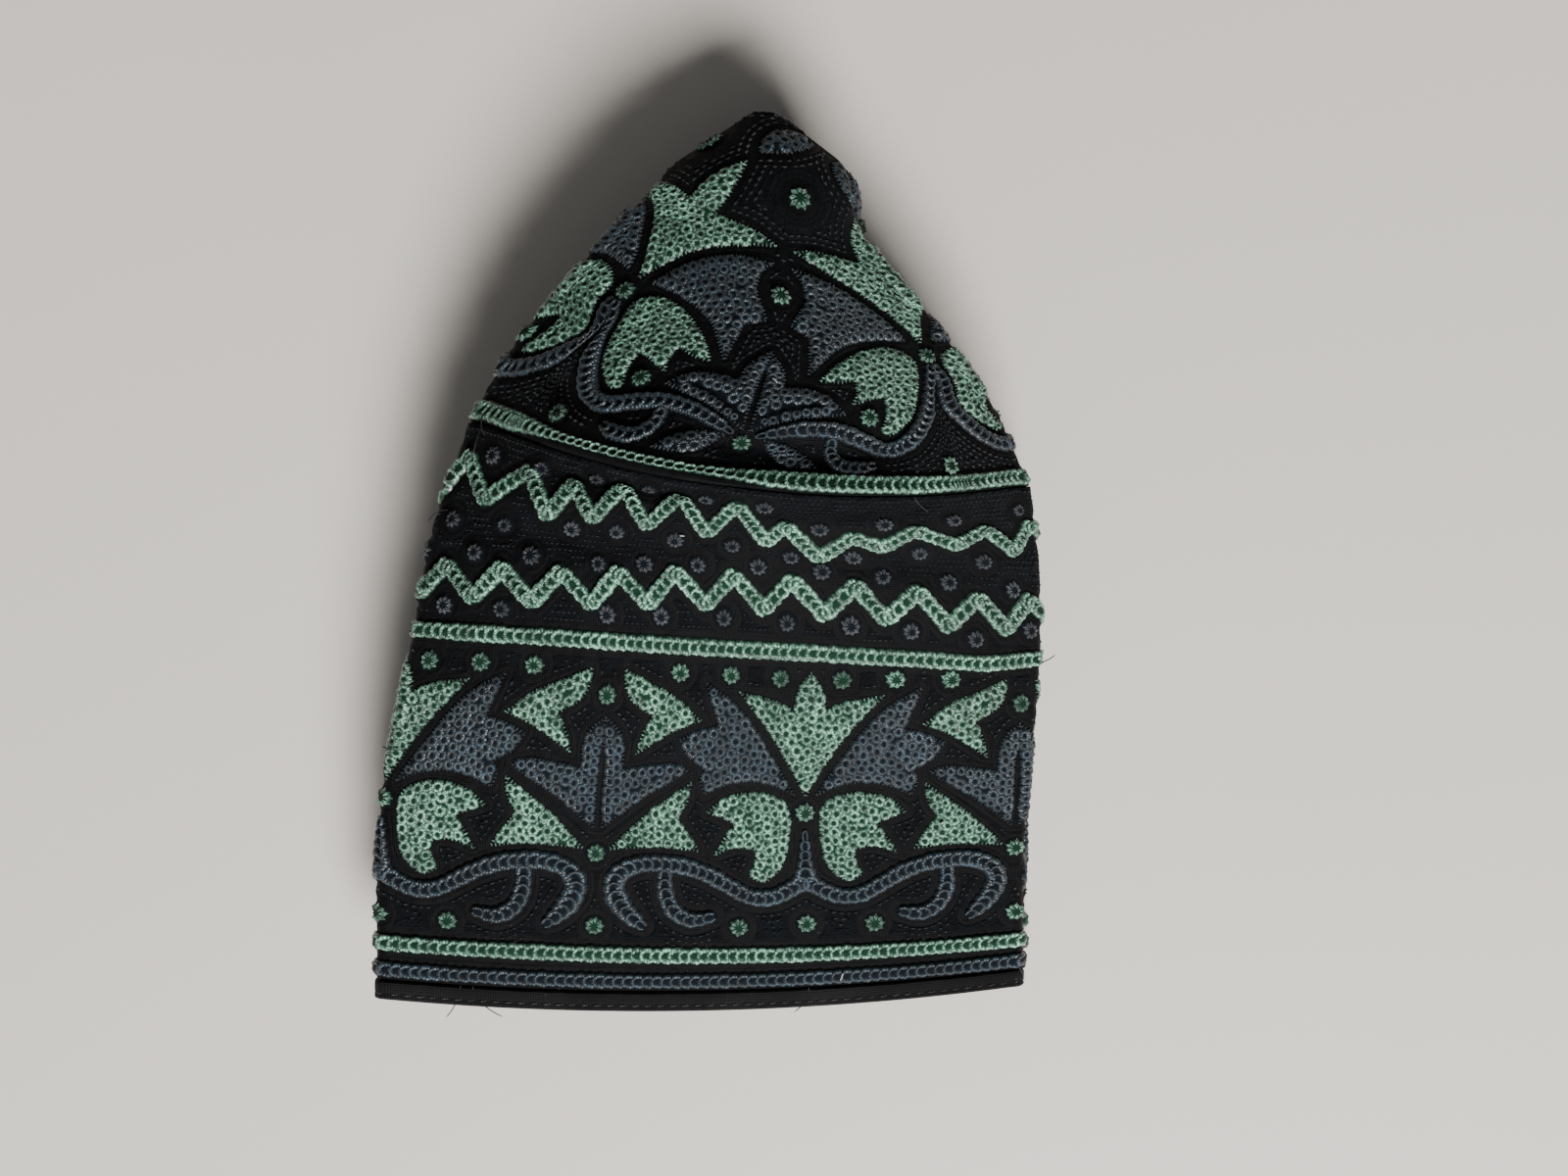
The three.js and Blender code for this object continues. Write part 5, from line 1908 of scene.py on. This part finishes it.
# Where the camera stands over the table, in mm
CAMERA_OVER = (16.0, -3.5)


def stage_material():
    """Pale floor, with a faint cloudiness."""
    material, tree, shader = new_material("pale_floor")
    if tree is None:
        return material
    floor = bpy.context.scene.kumma_stage.floor
    warm = tuple(value * 1.02 for value in floor)
    colour = tree.blend(tree.step(tree.noise(tree.position(), 3.0, 3.0), 0.4, 0.6), floor, warm)
    tree.link(colour, shader.inputs["Base Color"])
    shader.inputs["Roughness"].default_value = 0.55
    return material


class KUMMA_OT_stage(bpy.types.Operator):
    """Stage: a plain pale floor, soft light and the camera straight above"""
    bl_idname = "kumma.stage"
    bl_label = "Stage"

    def execute(self, context):
        scene, stage = context.scene, context.scene.kumma_stage
        mesh = bpy.data.meshes.new("floor")
        corners = [(x * FLOOR_REACH, y * FLOOR_REACH, 0) for x, y in ((-1, -1), (1, -1), (1, 1), (-1, 1))]
        mesh.from_pydata(corners, [], [(0, 1, 2, 3)])
        mesh.materials.append(stage_material())
        floor = bpy.data.objects.new("floor", mesh)
        scene.collection.objects.link(floor)
        floor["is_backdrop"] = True
        for name, (place, width, share) in LIGHTS.items():
            light = bpy.data.lights.new(name, "AREA")
            light.energy, light.size = stage.window * share, width
            lamp = bpy.data.objects.new(name, light)
            lamp.location = place
            lamp.rotation_mode = "QUATERNION"
            lamp.rotation_quaternion = (Vector(LIGHT_AIM) - Vector(place)).to_track_quat("-Z", "Y")
            scene.collection.objects.link(lamp)
        self.room(scene, stage)
        camera = bpy.data.objects.new("camera", bpy.data.cameras.new("camera"))
        x, y = CAMERA_OVER
        camera.location = ((x + FRAME_SHIFT[0]) * MM, (y + FRAME_SHIFT[1]) * MM,
                           stage.camera_height + FRAME_SHIFT[2] * MM)
        camera.data.lens, camera.data.sensor_width = stage.lens, 36.0
        camera.data.clip_start = 0.01
        scene.collection.objects.link(camera)
        scene.camera = camera
        return {"FINISHED"}

    def room(self, scene, stage):
        """Faint light from all round, and a pale wall behind the floor where the camera sees past it."""
        world = bpy.data.worlds.new("room")
        world.use_nodes = True
        tree = Tree(world.node_tree)
        back = world.node_tree.nodes["Background"]
        back.inputs["Color"].default_value = ROOM_LIGHT
        back.inputs["Strength"].default_value = stage.sky
        wall = tree.add("ShaderNodeBackground", {"Color": ROOM_WALL, "Strength": 0.8})
        seen = tree.add("ShaderNodeLightPath").outputs["Is Camera Ray"]
        both = tree.add("ShaderNodeMixShader", {0: seen, 1: back.outputs[0], 2: wall.outputs[0]})
        tree.link(both.outputs[0], world.node_tree.nodes["World Output"].inputs["Surface"])
        scene.world = world


OPERATORS = (KUMMA_OT_band_cloth, KUMMA_OT_crown_cloth, KUMMA_OT_hem, KUMMA_OT_leaf_nets,
             KUMMA_OT_chain_lines, KUMMA_OT_eyelets, KUMMA_OT_leaf_edges, KUMMA_OT_ground_stitches,
             KUMMA_OT_hem_stitches, KUMMA_OT_loose_threads, KUMMA_OT_stage)
STEPS = [operator.bl_idname.split(".")[1] for operator in OPERATORS]


class KUMMA_PT_panel(bpy.types.Panel):
    """The kumma's pieces and their sizes and colours"""
    bl_idname = "KUMMA_PT_panel"
    bl_label = "Kumma"
    bl_space_type = "VIEW_3D"
    bl_region_type = "UI"
    bl_category = "Kumma"

    def draw(self, context):
        for step in STEPS:
            self.layout.operator(f"kumma.{step}")
        for settings in (context.scene.kumma_cloth, context.scene.kumma_thread, context.scene.kumma_stage):
            box = self.layout.box()
            for name in settings.__annotations__:
                box.prop(settings, name)


CLASSES = (KummaCloth, KummaThread, KummaStage, *OPERATORS, KUMMA_PT_panel)


def register():
    for cls in CLASSES:
        bpy.utils.register_class(cls)
    bpy.types.Scene.kumma_cloth = PointerProperty(type=KummaCloth)
    bpy.types.Scene.kumma_thread = PointerProperty(type=KummaThread)
    bpy.types.Scene.kumma_stage = PointerProperty(type=KummaStage)


def unregister():
    del bpy.types.Scene.kumma_stage, bpy.types.Scene.kumma_thread, bpy.types.Scene.kumma_cloth
    for cls in reversed(CLASSES):
        bpy.utils.unregister_class(cls)


# Flat sizes of the cut cloth, in m
BAND_CUT = (HEAD_GIRTH * MM, 0.121)
CROWN_CUT = (0.186, 0.186)


def declare_cloth():
    """Gathers which pieces lie on the side wall and on the crown, with each cloth's cut size and area; nothing
    is done with them.
    """
    names = {o.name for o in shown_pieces()}
    on_side = sorted(n for n in names if n.startswith("band_") or n in (
        "hem_cloth", "hem_stitches", "blue_eyelets", "loose_threads", "lint"))
    on_top = sorted(n for n in names if n.startswith("crown_") or n in (
        "green_eyelets", "green_leaf_edges", "blue_leaf_edges"))
    for name, flat, area, sewn in (("band_cloth", BAND_CUT, None, on_side),
                                   ("crown_cloth", CROWN_CUT, math.pi * (CROWN_RADIUS * MM) ** 2, on_top)):
        sewn = [n for n in sewn if n != name]


def main():
    register()
    for step in STEPS:
        getattr(bpy.ops.kumma, step)()
    declare_cloth()


if __name__ == "__main__":
    main()
